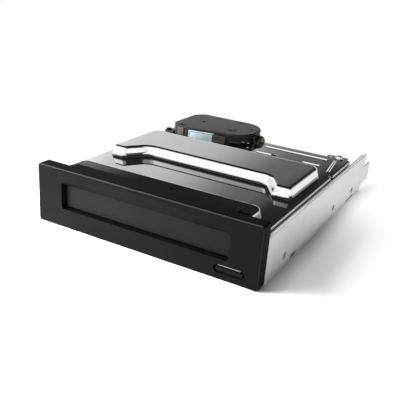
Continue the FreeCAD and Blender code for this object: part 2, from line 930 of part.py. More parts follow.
def cover():
    outer = fused([cover_channel(0), pan_solid(0, 0), rib_solid(0, 0, rib_front)])
    inner = fused([cover_channel(cover_sheet), pan_solid(cover_sheet, cover_sheet),
                   rib_solid(cover_sheet, cover_sheet, rib_front - overcut)])
    front_gap = box(cover_sheet - rib_half, rib_half - cover_sheet, 0, rib_front, 0, bay_height)
    solid = outer.cut(inner).cut(front_gap)
    sunk = cover_top + bead_height - bead_r
    notch_side = cover_notch_right + 2 * bead_r
    beads = [bead(Vector(notch_side, bead_y, sunk), Vector(bead_right, bead_y, sunk)),
             bead(Vector(crease_front_x, crease_front, sunk - small_gap),
                  Vector(crease_rear_x, crease_rear, sunk - small_gap)),
             bead(Vector(notch_side, short_bead_y, sunk), Vector(notch_side + short_bead, short_bead_y, sunk)),
             bead(Vector(bead_right - short_bead, short_bead_y, sunk), Vector(bead_right, short_bead_y, sunk))]
    plate_room = box(-half_width, half_width, 0, overall_depth, cover_under, bay_height)
    beads = [b.common(plate_room) for b in beads]
    tab = prism([(tab_left, cover_end - overcut, 0), (tab_right, cover_end - overcut, 0),
                 (tab_right, cover_end + tab_reach, tab_corner),
                 (tab_left, cover_end + tab_reach, tab_corner)],
                cover_under, cover_top)
    rear_lip = box(cover_notch_right, tab_left, cover_end - cover_sheet, cover_end,
                   cover_top - cover_rear_lip, cover_top)
    solid = fused([solid, tab, rear_lip] + beads)
    behind = box(cover_notch_left, cover_notch_right, cover_notch_front, overall_depth, 0, bay_height)
    left_end = box(-half_width, cover_notch_left + overcut, cover_left_end, overall_depth, 0, bay_height)
    edge_notch = box(cover_half - edge_notch_depth, half_width, edge_notch_front,
                     edge_notch_front + edge_notch_length, cover_under - edge_notch_depth, bay_height)
    screw_hole = upright(screw_shank_r + small_gap, cover_screw_x, cover_screw_y, 0, bay_height)
    ear_hole = upright(screw_shank_r + small_gap, *ear_screw_place(), cover_under - overcut, bay_height)
    for cutter in (behind, left_end, edge_notch, screw_hole, ear_hole):
        solid = solid.cut(cutter)
    return solid.removeSplitter().Solids[0]


def cover_post():
    post = upright(post_r, cover_screw_x, cover_screw_y, deck_top, cover_under)
    return post.cut(upright(screw_shank_r + seat_gap, cover_screw_x, cover_screw_y, hub_top, cover_under))


def cover_screw():
    return screw(cover_screw_x, cover_screw_y, cover_top, cover_top - hub_top - small_gap)


# Cartridge guides and loading carriage

def guide_right():
    near = slot_half + guide_gap
    far = near + guide_wall
    ledge_z = slot_top + guide_ledge_clear
    wall = box(near, far, guide_front, guide_rear, deck_top, ledge_z + guide_ledge_thick)
    ledge = box(near - guide_ledge, far, guide_front, guide_rear, ledge_z, ledge_z + guide_ledge_thick)
    funnel = closed_face([Vector(near, guide_front, deck_top), Vector(far, guide_front, deck_top),
                          Vector(near, guide_front + guide_funnel, deck_top)]).extrude(up * slot_height)
    return fused([wall, ledge]).cut(funnel).Solids[0]


def guide_left():
    solid = mirrored(guide_right())
    claw_top = carriage_bottom + claw_lift + claw_thick
    window = box(-half_width, -slot_half, claw_y - claw_window_margin,
                 claw_y + claw_length + carriage_travel + claw_window_margin,
                 carriage_bottom + claw_lift - slide_gap, claw_top + slide_gap)
    return solid.cut(window).Solids[0]


def rack_teeth():
    pitch = math.pi * rack_module
    tip_x = rack_pitch_x + addendum_share * rack_module
    root_x = rack_pitch_x - dedendum_share * rack_module
    count = math.ceil(carriage_travel / pitch) + 2 * rack_spare_teeth
    teeth = []
    for i in range(count):
        middle = rack_pinion_y + (rack_spare_teeth - i - 0.5) * pitch
        half_tip = tip_share * pitch / 2
        half_root = root_share * pitch / 2
        tooth = closed_face([Vector(root_x - small_gap, middle - half_root, carriage_bottom),
                             Vector(tip_x, middle - half_tip, carriage_bottom),
                             Vector(tip_x, middle + half_tip, carriage_bottom),
                             Vector(root_x - small_gap, middle + half_root, carriage_bottom)])
        teeth.append(tooth.extrude(up * carriage_thick))
    return teeth


def stud_places():
    return [carriage_stud_front, carriage_stud_front + carriage_stud_pitch]


def carriage():
    root_x = rack_pitch_x - dedendum_share * rack_module
    rear = rack_pinion_y + rack_spare_teeth * math.pi * rack_module
    top = carriage_bottom + carriage_thick
    bar = prism(square(carriage_left, root_x, carriage_front, rear, overcut), carriage_bottom, top)
    arm = box(root_x - overcut, claw_reach - slot_half - guide_gap, claw_y, claw_y + claw_length,
              carriage_bottom + claw_lift, carriage_bottom + claw_lift + claw_thick)
    riser = box(carriage_left, root_x, claw_y, claw_y + claw_length, top,
                carriage_bottom + claw_lift + claw_thick)
    solid = fused([bar, arm, riser] + rack_teeth())
    half = carriage_stud_r + small_gap
    for y in stud_places():
        slot = prism(square(carriage_slot_x - half, carriage_slot_x + half, y - half - carriage_travel,
                            y + half, half - seat_gap), 0, bay_height)
        solid = solid.cut(slot)
    return solid.Solids[0]


def carriage_studs():
    studs = []
    for y in stud_places():
        seat = carriage_bottom + carriage_thick + slide_gap
        shank = upright(carriage_stud_r, carriage_slot_x, y, deck_top, seat)
        studs.append(shank.fuse(upright(stud_head_r, carriage_slot_x, y, seat, seat + stud_head)))
    return studs


# Gear train and motor

def direction(start, end):
    return math.degrees(math.atan2(end.y - start.y, end.x - start.x))


output_axis = Vector(rack_pinion_x, rack_pinion_y, 0)
wheel_axis = Vector(wheel_x, wheel_y, 0)


def pinion_shaft():
    pinion = gear(output_axis, rack_module, rack_pinion_teeth, rack_pinion_bottom,
                  rack_pinion_bottom + rack_face, 180, True)
    shaft = upright(output_shaft_r, rack_pinion_x, rack_pinion_y, deck_bottom,
                    train_bottom + train_face + output_shaft_rise)
    return fused([pinion, shaft])


def output_gear():
    solid = gear(output_axis, train_module, output_teeth, train_bottom, train_bottom + train_face,
                 direction(output_axis, wheel_axis), True)
    return solid.cut(upright(output_shaft_r + seat_gap, rack_pinion_x, rack_pinion_y, 0, bay_height))


def worm_wheel():
    wheel = gear(wheel_axis, worm_module, wheel_teeth, wheel_bottom, wheel_bottom + wheel_face, 90, True)
    pinion = gear(wheel_axis, train_module, wheel_pinion_teeth, train_bottom, train_bottom + train_face,
                  direction(wheel_axis, output_axis), False)
    hub_root = wheel_pinion_r - dedendum_share * train_module
    hub = upright(hub_root, wheel_x, wheel_y, train_bottom, wheel_bottom)
    return fused([wheel, pinion, hub]).cut(upright(gear_pin_r + shaft_gap, wheel_x, wheel_y, 0, bay_height))


def gear_pin():
    return upright(gear_pin_r, wheel_x, wheel_y, box_bottom + box_floor / 2, lid_bottom)


def worm_thread():
    # Right-handed thread whose gap meets the wheel's tooth at rest
    lead = math.pi * worm_module
    length = 2 * worm_half_length
    turns = math.floor(length / lead)
    height = turns * lead
    outer = worm_pitch_r + addendum_share * worm_module
    inner = worm_core_r - small_gap
    helix = Part.makeHelix(lead, height, inner)
    half_root = worm_thread_root / 2
    half_tip = worm_thread_tip / 2
    section = closed_face([Vector(inner, 0, -half_root), Vector(outer, 0, -half_tip),
                           Vector(outer, 0, half_tip), Vector(inner, 0, half_root)]).OuterWire
    thread = Part.Wire(helix.Edges).makePipeShell([section], True, True).Solids[0]
    # The helix starts at its local +X; turned to run along X, that start faces down
    thread.rotate(Vector(0, 0, 0), back, 90)
    thread.rotate(Vector(0, 0, 0), right, -90)
    start = wheel_x - (turns // 2 + 0.5) * lead
    thread.translate(Vector(start, motor_y, motor_z))
    return thread


def worm_shaft():
    core = rod(worm_core_r, Vector(wheel_x - worm_half_length - overcut, motor_y, motor_z), right,
               2 * (worm_half_length + overcut))
    shaft_length = motor_left + motor_boss - motor_shaft_end
    shaft = rod(motor_shaft_r, Vector(motor_shaft_end, motor_y, motor_z), right, shaft_length)
    return fused([core, shaft, worm_thread()])


def motor_case():
    can = rod(motor_r, Vector(motor_left, motor_y, motor_z), right, motor_length)
    boss_start = Vector(motor_left - motor_boss, motor_y, motor_z)
    boss = rod(motor_boss_r, boss_start, right, motor_boss)
    bore = rod(motor_shaft_r + shaft_gap, boss_start, right, 3 * motor_boss)
    front_edge = [e for e in can.Edges if e.BoundBox.XMax < motor_left + seat_gap]
    can = can.makeChamfer(motor_edge, front_edge)
    return can.fuse(boss).cut(bore).Solids[0]


def motor_end_cap():
    start = motor_left + motor_length
    cap = rod(motor_cap_r, Vector(start, motor_y, motor_z), right, motor_cap)
    rear_edge = [e for e in cap.Edges if e.BoundBox.XMin > start + motor_cap - seat_gap]
    return cap.makeChamfer(motor_edge, rear_edge)


def motor_leads():
    leads = []
    start_x = motor_left + motor_length + motor_cap
    for side in (-1, 1):
        y = motor_y + side * lead_spread
        start = Vector(start_x, y, motor_z)
        corner = Vector(start_x + lead_out, y, motor_z)
        end = Vector(start_x + lead_out, y, board_top)
        bend_in = corner - right * lead_bend
        bend_out = corner - up * lead_bend
        share = lead_bend * (1 - math.sqrt(0.5))
        bend_middle = corner - right * share - up * share
        path = Part.Wire([Part.makeLine(start, bend_in), Part.Arc(bend_in, bend_middle, bend_out).toShape(),
                          Part.makeLine(bend_out, end)])
        section = closed_face([start + back * a + up * b for a, b in hexagon(lead_r)]).OuterWire
        leads.append(path.makePipeShell([section], True, False).Solids[0])
    return leads


# Gearbox housing

def box_outline():
    return [(box_left, box_front + box_chamfer_y, box_left_r),
            (box_left + box_chamfer_x, box_front, box_front_r),
            (box_left + box_front_width, box_front, box_slant_r),
            (box_right, box_front + box_slant, box_end_r),
            (box_right, box_rear, box_end_r), (box_left + box_chamfer_x, box_rear, box_slant_r),
            (box_left, box_rear - box_rear_chamfer, box_rear_r)]


def box_feet():
    return [(box_left + foot_corner, box_rear - foot_rear),
            (box_right - foot_corner, box_rear - foot_end_rear),
            (box_right - foot_slant, box_front + foot_slant)]


def lid_screw_places():
    return [(box_right - lid_screw_middle, box_rear - lid_screw_rear),
            (box_left + lid_screw_corner, box_front + lid_screw_front),
            (box_right - lid_screw_slant, box_front + lid_screw_slant_front)]


def ear_screw_place():
    return box_left - box_ear_width / 2, box_front + box_ear_length / 2


def gearbox_base():
    outline = box_outline()
    shell = prism(outline, box_bottom, lid_bottom)
    room = prism(inset(outline, box_wall), box_bottom + box_floor, lid_bottom + overcut)
    ear_x, ear_y = ear_screw_place()
    ear = prism(square(ear_x - box_ear_width / 2, box_left + 2 * box_wall, ear_y - box_ear_length / 2,
                       ear_y + box_ear_length / 2, box_ear_r), cover_top, cover_top + box_ear_thick)
    feet = [upright(foot_r, x, y, deck_top, box_bottom + seat_gap) for x, y in box_feet()]
    bosses = [upright(screw_shank_r + box_wall, x, y, box_bottom, lid_bottom) for x, y in lid_screw_places()]
    cradle = box(motor_left + motor_boss, box_right - 2 * box_wall, motor_y - motor_r / 2,
                 motor_y + motor_r / 2, box_bottom + box_floor / 2, motor_z)
    solid = fused([shell.cut(room), cradle] + feet + bosses)
    ear = ear.cut(prism(inset(outline, box_wall / 2), 0, bay_height))
    solid = fused([solid, ear])
    can_room = rod(motor_r + small_gap, Vector(motor_left - seat_gap, motor_y, motor_z), right, bay_width)
    solid = solid.cut(can_room)
    solid = solid.cut(upright(output_shaft_r + shaft_gap, rack_pinion_x, rack_pinion_y, 0, bay_height))
    pin_hole = upright(gear_pin_r + seat_gap, wheel_x, wheel_y, box_bottom + box_floor / 2, bay_height)
    solid = solid.cut(pin_hole)
    for x, y in lid_screw_places():
        solid = solid.cut(upright(screw_shank_r + seat_gap, x, y, box_bottom + box_floor, bay_height))
    solid = solid.cut(upright(screw_shank_r + small_gap, ear_x, ear_y, 0, bay_height))
    return solid.Solids[0]


def gearbox_lid():
    solid = prism(box_outline(), lid_bottom, bay_height)
    solid = solid.makeChamfer(lid_edge, edges_at(solid, bay_height))
    fork = box(motor_shaft_end, motor_shaft_end + fork_thick, motor_y - fork_half, motor_y + fork_half,
               motor_z - fork_half, lid_bottom + lid_thick / 2)
    slot_half_width = motor_shaft_r + shaft_gap
    slot = box(motor_shaft_end - overcut, motor_shaft_end + 2 * fork_thick, motor_y - slot_half_width,
               motor_y + slot_half_width, 0, motor_z)
    seat_start = Vector(motor_shaft_end - overcut, motor_y, motor_z)
    seat = rod(slot_half_width, seat_start, right, 2 * fork_thick + overcut)
    fork = fork.cut(slot).cut(seat)
    solid = fused([solid, fork])
    for x, y in lid_screw_places():
        solid = solid.cut(upright(screw_shank_r + small_gap, x, y, 0, bay_height + overcut))
        recess = upright(screw_head_r + small_gap, x, y, bay_height - lid_thick / 2, bay_height + overcut)
        solid = solid.cut(recess)
    for x, y in lid_view_holes():
        solid = solid.cut(upright(lid_hole_r, x, y, lid_bottom - small_gap, bay_height + overcut))
    return solid.Solids[0]


def lid_view_holes():
    xs = (box_right - view_hole_middle, box_left + view_hole_left, box_right - view_hole_right)
    return [(x, box_front + view_hole_front + i * view_hole_pitch) for i, x in enumerate(xs)]


def flush_screw(x, y, seat, depth, head_r=screw_head_r):
    top = seat + lid_thick / 2
    head = upright(head_r, x, y, seat, top)
    shank = upright(screw_shank_r, x, y, seat - depth, seat)
    return head.fuse(shank).cut(socket(x, y, top - lid_thick / 4, top)).Solids[0]


def gearbox_screws():
    screws = [flush_screw(x, y, bay_height - lid_thick / 2, lid_screw_depth) for x, y in lid_screw_places()]
    ear_x, ear_y = ear_screw_place()
    depth = box_ear_thick + 2 * cover_sheet
    screws.append(flush_screw(ear_x, ear_y, cover_top + box_ear_thick, depth, ear_head_r))
    return screws


def gearbox_label():
    # Bare label on the slanted front of the housing
    corner = Vector(box_left + box_front_width, box_front, 0)
    along = (Vector(box_right, box_front + box_slant, 0) - corner).normalize()
    outward = along.cross(up)
    start = corner + along * label_start
    end = start + along * label_length
    thick = outward * label_thick
    label = closed_face([start, end, end + thick, start + thick]).extrude(up * (lid_bottom - label_bottom))
    label.translate(up * label_bottom)
    return label


# Head actuator

def turned(shape, degrees):
    shape.rotate(pivot, up, degrees)
    return shape


def arm_plate(z, root_half, tip_half, start, end, thick):
    outline = closed_face([Vector(pivot_x + start, pivot_y - root_half, z),
                           Vector(pivot_x + end, pivot_y - tip_half, z),
                           Vector(pivot_x + end, pivot_y + tip_half, z),
                           Vector(pivot_x + start, pivot_y + root_half, z)])
    return outline.extrude(up * thick)


def actuator_arm():
    hub = upright(hub_r, pivot_x, pivot_y, hub_bottom, hub_top)
    arms = []
    for z in (lower_arm_z, upper_arm_z):
        plate = arm_plate(z, arm_root_half, arm_tip_half, 0, arm_reach, arm_thick)
        window = arm_plate(z - overcut, arm_root_half / 2, arm_tip_half / 2, hub_r + 2 * arm_tip_half,
                           arm_reach - 2 * arm_tip_half, 2 * overcut + arm_thick)
        arms.append(plate.cut(window))
    fork = []
    for side in (-1, 1):
        # Each finger lies along one straight side of the coil
        near, far = sorted((-side * seat_gap, -side * (seat_gap + fork_width)))
        finger = box(pivot_x - coil_outer + coil_band, pivot_x, pivot_y + near, pivot_y + far,
                     coil_bottom, coil_bottom + coil_thick)
        fork.append(turned(finger, side * coil_half_angle))
    solid = fused([hub] + arms + fork)
    solid = solid.cut(upright(bearing_r + seat_gap, pivot_x, pivot_y, 0, bay_height))
    return turned(solid, park_angle)


def pivot_shaft():
    shaft = upright(pivot_shaft_r, pivot_x, pivot_y, deck_top, cover_under - small_gap)
    flange = upright(bearing_r, pivot_x, pivot_y, deck_top, hub_bottom - slide_gap)
    return fused([shaft, flange])


def pivot_bearings():
    inner = pivot_shaft_r + shaft_gap
    return [ring(pivot, inner, bearing_r, hub_bottom, hub_bottom + bearing_height),
            ring(pivot, inner, bearing_r, hub_top - bearing_height, hub_top)]


def head_suspensions():
    beams = []
    for z, side in ((lower_arm_z + arm_thick, 1), (upper_arm_z, -1)):
        # Each thin beam leaves its arm and bends in towards the disc
        start = arm_reach - beam_overlap
        end = head_radius + tab_length
        rise = side * (arm_offset - slider_height - 2 * beam_thick)
        low = z if side > 0 else z - beam_thick
        joint = pivot_x + arm_reach
        tip = pivot_x + end
        flat = box(pivot_x + start, joint, pivot_y - arm_tip_half, pivot_y + arm_tip_half, low,
                   low + beam_thick)
        profile = closed_face([Vector(joint, pivot_y, low), Vector(tip, pivot_y, low + rise),
                               Vector(tip, pivot_y, low + rise + beam_thick),
                               Vector(joint, pivot_y, low + beam_thick)])
        slope = profile.extrude(back * (2 * arm_tip_half))
        slope.translate(back * -arm_tip_half)
        plan = arm_plate(0, arm_tip_half, beam_tip_half, arm_reach, end, bay_height)
        beams.append(turned(fused([flat, slope.common(plan)]), park_angle))
    return beams


def head_sliders():
    sliders = []
    span = head_radius + tab_length - arm_reach
    share = (head_radius - arm_reach) / span
    rise = (arm_offset - slider_height - 2 * beam_thick) * share
    for side in (-1, 1):
        surface = disc_mid + side * (arm_offset - beam_thick - rise)
        far = surface - side * slider_height
        slider = box(pivot_x + head_radius - slider_length, pivot_x + head_radius, pivot_y - slider_width / 2,
                     pivot_y + slider_width / 2, min(surface, far), max(surface, far))
        slider.translate(up * (-side * 2 * small_gap))
        sliders.append(turned(slider, park_angle))
    return sliders


def voice_coil():
    middle = park_angle - 180
    coil_top = coil_bottom + coil_thick
    outer = ring_sector(pivot, coil_inner, coil_outer, middle - coil_half_angle, middle + coil_half_angle,
                        coil_bottom, coil_top)
    inner_half = coil_half_angle - math.degrees(coil_band / (coil_inner + coil_band))
    inner = ring_sector(pivot, coil_inner + coil_band, coil_outer - coil_band, middle - inner_half,
                        middle + inner_half, coil_bottom - overcut, coil_top + overcut)
    return outer.cut(inner)


def yoke(z):
    return ring_sector(pivot, yoke_inner, yoke_outer, yoke_start, yoke_end, z, z + yoke_thick)


def magnet(z):
    return ring_sector(pivot, magnet_inner, magnet_outer, magnet_start, magnet_end, z, z + magnet_thick)


def yoke_posts():
    middle = (yoke_start + yoke_end) / 2
    angles = (yoke_start + yoke_post_inset, middle, yoke_end - yoke_post_inset)
    places = [polar(pivot, yoke_post_radius, a) for a in angles]
    return [upright(yoke_post_r, p.x, p.y, lower_yoke_z + yoke_thick, upper_yoke_z) for p in places]


def crash_stops():
    swing_low = park_angle - 180 - coil_half_angle - 4 * stop_margin
    swing_high = park_angle - 180 + arm_swing + coil_half_angle + 4 * stop_margin
    places = [polar(pivot, stop_radius, a) for a in (swing_low, swing_high)]
    return [upright(stop_r, p.x, p.y, lower_yoke_z + yoke_thick, upper_yoke_z) for p in places]


def head_ramp():
    tip = head_radius + slide_gap + 2 * small_gap
    near = pivot_x + tip
    block = box(near, near + ramp_width, pivot_y - ramp_thick / 2, pivot_y + ramp_thick / 2,
                deck_top, hub_top)
    block = turned(block, park_angle)
    groove = ring(pivot, tip - overcut, head_radius + tab_length + slide_gap, disc_mid - 2 * ramp_groove_half,
                  disc_mid + 2 * ramp_groove_half)
    return block.cut(groove).Solids[0]


# Flex circuit, contacts and circuit board

def flex_circuit():
    start = Vector(pivot_x, pivot_y + hub_r + flex_gap, flex_bottom)
    centre = Vector(start.x - flex_bend_r, start.y, flex_bottom)
    middle = polar(centre, flex_bend_r, 45, flex_bottom)
    bend_end = polar(centre, flex_bend_r, 90, flex_bottom)
    end = bend_end - right * flex_straight
    path = Part.Wire([Part.Arc(start, middle, bend_end).toShape(), Part.makeLine(bend_end, end)])
    outer = start + right * flex_thick
    section = closed_face([start, outer, outer + up * flex_height, start + up * flex_height])
    return path.makePipeShell([section.OuterWire], True, False).Solids[0]


def flex_bracket():
    x = pivot_x - flex_bend_r - flex_straight
    y = pivot_y + hub_r + flex_gap + flex_bend_r
    foot = box(x - 2 * bracket_half, x + bracket_half, y + flex_thick, y + 2 * bracket_half + flex_thick,
               deck_top, deck_top + bracket_thick)
    stand = box(x - bracket_half, x + bracket_half, y + flex_thick, y + flex_thick + bracket_thick,
                deck_top, deck_top + bracket_height)
    return fused([foot, stand])


def contact_block():
    block = box(contact_left, contact_right, guide_rear + small_gap, guide_rear + small_gap + contact_depth,
                deck_top, deck_top + contact_height)
    return block.makeFillet(contact_depth / 8, edges_at(block, deck_top + contact_height))


def contact_springs():
    springs = []
    pitch = (contact_right - contact_left) / contact_count
    for i in range(contact_count):
        middle = contact_left + (i + 0.5) * pitch
        left = middle - contact_width / 2
        face = guide_rear + small_gap
        mast = box(left, left + contact_width, face - contact_sheet, face, deck_top + contact_rise,
                   deck_top + contact_height - contact_sheet)
        nose_z = deck_top + contact_height - 2 * contact_rise
        nose = box(left, left + contact_width, face - contact_rise, face - contact_sheet, nose_z,
                   nose_z + contact_sheet)
        springs.append(fused([mast, nose]))
    return springs


def circuit_board():
    outline = square(-board_half, board_half, board_front, board_rear, board_corner)
    board = prism(outline, board_bottom, board_top)
    for x, y in board_holes():
        board = board.cut(upright(screw_shank_r + small_gap, x, y, 0, bay_height))
    for x, y in post_places():
        board = board.cut(upright(post_r + slide_gap, x, y, 0, bay_height))
    for x, y in bottom_holes():
        board = board.cut(upright(hole_r + 2 * collar_wall, x, y, 0, bay_height))
    return board.Solids[0]


def board_chips():
    chips = []
    for i in range(4):
        half = main_chip * (1 - chip_shrink * (i % 3)) / 2
        x = chip_x + (i % 2) * chip_pitch
        y = chip_y + (i // 2) * chip_pitch
        chip = box(x - half, x + half, y - half, y + half, board_top, board_top + main_chip_height)
        chips.append(chip.makeChamfer(small_gap, edges_at(chip, board_top + main_chip_height)))
    return chips


def board_sockets():
    sockets = []
    rear_y = board_hole_front + board_hole_pitch
    half = socket_length / 2
    wall = 2 * small_gap
    for x, y in ((-socket_x, board_hole_front), (socket_x, board_hole_front), (-socket_x, rear_y)):
        shell = box(x - half, x + half, y - socket_depth / 2, y + socket_depth / 2,
                    board_top, board_top + socket_height)
        mouth = box(x - half + wall, x + half - wall, y - socket_depth, y, board_top + wall,
                    board_top + socket_height - wall)
        sockets.append(shell.cut(mouth))
    return sockets


def board_capacitors():
    y = board_hole_front + board_hole_pitch
    first = socket_x - (capacitor_count - 1) * capacitor_pitch / 2
    return [upright(capacitor_r, first + i * capacitor_pitch, y, board_top, board_top + capacitor_height)
            for i in range(capacitor_count)]


def board_screws():
    return [screw(x, y, board_top, board_top) for x, y in board_holes()]


def rear_connector():
    right_end = connector_left + connector_width
    rear = connector_front + connector_depth
    room_front = rear - connector_socket_depth
    room_low = board_top + connector_wall
    room_high = board_top + connector_height - connector_wall
    shell = box(connector_left, right_end, connector_front, rear, board_top, board_top + connector_height)
    room = box(connector_left + connector_wall, right_end - connector_wall, room_front, rear + overcut,
               room_low, room_high)
    middle_z = board_top + connector_height / 2
    tongue = box(connector_left + connector_wall, right_end - connector_wall, connector_front,
                 rear - small_gap, middle_z - connector_tongue / 2, middle_z + connector_tongue / 2)
    key = connector_left + connector_key
    gap = box(key, key + connector_bar, room_front, rear + overcut, room_low, room_high)
    margins = [box(x, x + connector_wall, room_front, rear + overcut, room_low, room_high)
               for x in (connector_left + connector_wall, right_end - 2 * connector_wall)]
    return fused([shell.cut(room), tongue.cut(gap).cut(margins[0]).cut(margins[1])])


def build():
    write("front_bezel", bezel())
    write("slot_door", door())
    write("door_pin", door_pin())
    write("door_spring", *door_spring())
    write("eject_button", button())
    write("switch_plunger", plunger())
    write("eject_switch", eject_switch())
    write("base_tray", tray())
    write("inner_frame", inner_frame())
    write("frame_posts", *frame_posts(), cover_post())
    write("frame_screws", *frame_screws())
    write("top_cover", cover())
    write("cover_screw", cover_screw())
    write("guide_right", guide_right())
    write("guide_left", guide_left())
    write("load_carriage", carriage())
    write("carriage_studs", *carriage_studs())
    write("pinion_shaft", pinion_shaft())
    write("output_gear", output_gear())
    write("worm_wheel", worm_wheel())
    write("gear_pin", gear_pin())
    write("worm_shaft", worm_shaft())
    write("motor_case", motor_case())
    write("motor_end_cap", motor_end_cap())
    write("motor_leads", *motor_leads())
    write("gearbox_base", gearbox_base())
    write("gearbox_lid", gearbox_lid())
    write("gearbox_screws", *gearbox_screws())
    write("gearbox_label", gearbox_label())
    write("actuator_arm", actuator_arm())
    write("pivot_shaft", pivot_shaft())
    write("pivot_bearings", *pivot_bearings())
    write("head_suspensions", *head_suspensions())
    write("head_sliders", *head_sliders())
    write("voice_coil", voice_coil())
    write("lower_yoke", yoke(lower_yoke_z))
    write("upper_yoke", yoke(upper_yoke_z))
    write("lower_magnet", magnet(lower_yoke_z + yoke_thick))
    write("upper_magnet", magnet(upper_magnet_z))
    write("yoke_posts", *yoke_posts())
    write("crash_stops", *crash_stops())
    write("head_ramp", head_ramp())
    write("flex_circuit", flex_circuit())
    write("flex_bracket", flex_bracket())
    write("contact_block", contact_block())
    write("contact_springs", *contact_springs())
    write("circuit_board", circuit_board())
    write("board_chips", *board_chips())
    write("board_sockets", *board_sockets())
    write("board_capacitors", *board_capacitors())
    write("board_screws", *board_screws())
    write("rear_connector", rear_connector())


os.makedirs("parts", exist_ok=True)
build()
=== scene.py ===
"""Looks of the removable disk drive. The CAD frame gives the shapes; lengths are in metres."""

import json
import math

import bpy
from mathutils import Matrix, Vector


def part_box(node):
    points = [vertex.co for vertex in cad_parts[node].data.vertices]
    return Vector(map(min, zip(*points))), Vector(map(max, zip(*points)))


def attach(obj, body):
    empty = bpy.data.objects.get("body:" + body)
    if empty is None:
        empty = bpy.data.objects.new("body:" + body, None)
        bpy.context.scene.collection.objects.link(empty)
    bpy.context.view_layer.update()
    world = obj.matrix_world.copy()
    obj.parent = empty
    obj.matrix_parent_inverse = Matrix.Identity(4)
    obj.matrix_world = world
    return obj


MM = 0.001
HAIR = 0.02 * MM

# Camera, as solved from the photo
CAMERA_PLACE = (117.43 * MM, -247.91 * MM, 107.96 * MM)
CAMERA_RIGHT = (0.86895, 0.48947, 0.07309)
CAMERA_DOWN = (0.24191, -0.29124, -0.92556)
CAMERA_FORWARD = (-0.43174, 0.82195, -0.37148)
CAMERA_LENS = 54.52
SENSOR = 36.0
CLIP_START = 10 * MM

# Floor
FLOOR_SIZE = 4.0
FLOOR_COLOUR = (0.86, 0.86, 0.86)
# Painted contact shadow on the paper beside the drive's right wall
FOOT_SHADE = 0.35
FOOT_SHADE_REACH = 9 * MM
FOOT_SHADE_OPEN = (0.45, 1.0)
FOOT_SHADE_SIDE = (46 * MM, 51 * MM)
FLOOR_NEAR = 55 * MM
FLOOR_FAR = 105 * MM
FLOOR_MIDDLE = (0.0, -45 * MM, 0.0)

# Room, as it shows in the polished cover: pairs of an angle in degrees and a grey
SKY_STRENGTH = 1.2
CEILING = 0.015
WALL_TO_CEILING = [(0.0, 1.0), (22.0, 1.0), (24.0, 0.45), (27.0, 0.05), (34.0, 0.0)]
LOW_WALL = [(0, 1.0), (12.5, 1.0), (14.3, 0.50), (15.6, 0.26), (16.5, 0.12), (17.2, 0.04), (20, 0.0)]
LOW_WALL_AROUND = [(-180, 1), (6, 1), (18, 0.28), (50, 0.18), (80, 1), (180, 1)]
WALL_SLANT = 1.4
FAR_WALL = [(-180, 1.0), (-21.0, 1.0), (-13.2, 0.80), (-11.4, 0.58), (-8.0, 0.53), (-5.2, 0.51),
            (-1.8, 0.41), (1.7, 0.225), (4.6, 0.115), (7.8, 0.115), (9.4, 0.02), (125.0, 0.02),
            (150.0, 0.15), (175.0, 0.9), (180, 1.0)]
FRONT_EDGE = 0.25
FRONT_SHARE = 0.585

# Share of the room's light that matte surfaces receive
DIFFUSE_SHARE = 0.6

# Lamps
KEY_PLACE = (-0.50, -0.32, 0.42)
KEY_SIZE = 0.30
KEY_POWER = 9.0
FILL_PLACE = (0.0, -0.1, 0.9)
FILL_SIZE = 1.0
FILL_POWER = 4.5
SIDE_PLACE = (-0.14, -0.18, 0.028)
SIDE_SIZE = 0.04
SIDE_POWER = 2.6
SIDE_STRETCH = 4.0

# Painted light on surfaces: painted shade on the front's top faces, a painted highlight on its rounded
# edges, and painted light on the housing's faces that look forward
# Painted shade on the front's top faces
TOP_SHADE = 0.25
TOP_SHADE_FROM = 18 * MM
TOP_SLOPES = (0.8, 0.95)
# Painted highlight on the front's rounded edges
EDGE_SHINE = 7.0
EDGE_SLOPES = (0.32, 0.45)
# Painted light on the housing's faces that look forward
FRONT_PAINTED_LIGHT = 3.2
FRONT_SLOPES = (-0.8, -0.3)

# Surface of the cover: painted shade in its hollow corners, the rib, the pan's walls and foot
COVER_GRAIN = 0.03
COVER_DULLING = (0.85, 1.2)
HOLLOW_REACH = 3.2 * MM
HOLLOW_SAMPLES = 12
HOLLOW_SHADE_TONE = (0.32, 0.29, 0.27)
HOLLOW_SPAN = (0.42, 0.80)
RIB_REAR_FROM_FRONT = 12.0 * MM
RIB_TOP_DROP = 2.2 * MM
RIB_LEAN = 0.075
PAN_HEIGHT = 4.8 * MM
PAN_REAR_FROM_FRONT = 76 * MM
FOOT_HEIGHT = 2.1 * MM
FOOT_CURVE = 1.6
FOOT_TURN = 0.9
WALL_SLOPE = 0.6
FLAT_SLOPE = 0.95
WALL_ROUGH = 0.12
FOOT_STEEP = 0.7

# The label's border
BORDER_IN = 0.5 * MM
BORDER = 0.25 * MM
BORDER_PROUD = 0.03 * MM

# The housing's end flange
FLANGE_START = 1.5 * MM
FLANGE_PROUD = 0.9 * MM
FLANGE_LOW = 20.7 * MM
FLANGE_THICK = 0.8 * MM
FLANGE_SCREW_R = 0.8 * MM
FLANGE_SCREW_TALL = 0.5 * MM
FLANGE_SCREW_STEP = 2.6 * MM

# Lips of the side walls, pale as a painted highlight
LIP_BAND = 0.05 * MM
LIP_TALL = 0.55 * MM
LIP_LEAN = 0.25 * MM
TRAY_SHEET = 0.8 * MM
FRAME_SHEET = 0.6 * MM

# Pressed beads behind the pan
BEAD_SIDE = 9.6 * MM
BEAD_Y = 98.0 * MM
SHORT_BEAD_Y = 86.4 * MM
SHORT_BEAD = 8.0 * MM
BEAD_FOOT = 0.86 * MM
BEAD_TOP = 0.64 * MM
BEAD_TALL = 0.55 * MM
BEAD_EDGE = 0.05 * MM

# The painted highlight along the button's top edge
EDGE_END = 1.9 * MM
EDGE_HIGH = 0.42 * MM
EDGE_LOW = 0.10 * MM
EDGE_DEEP = 0.34 * MM

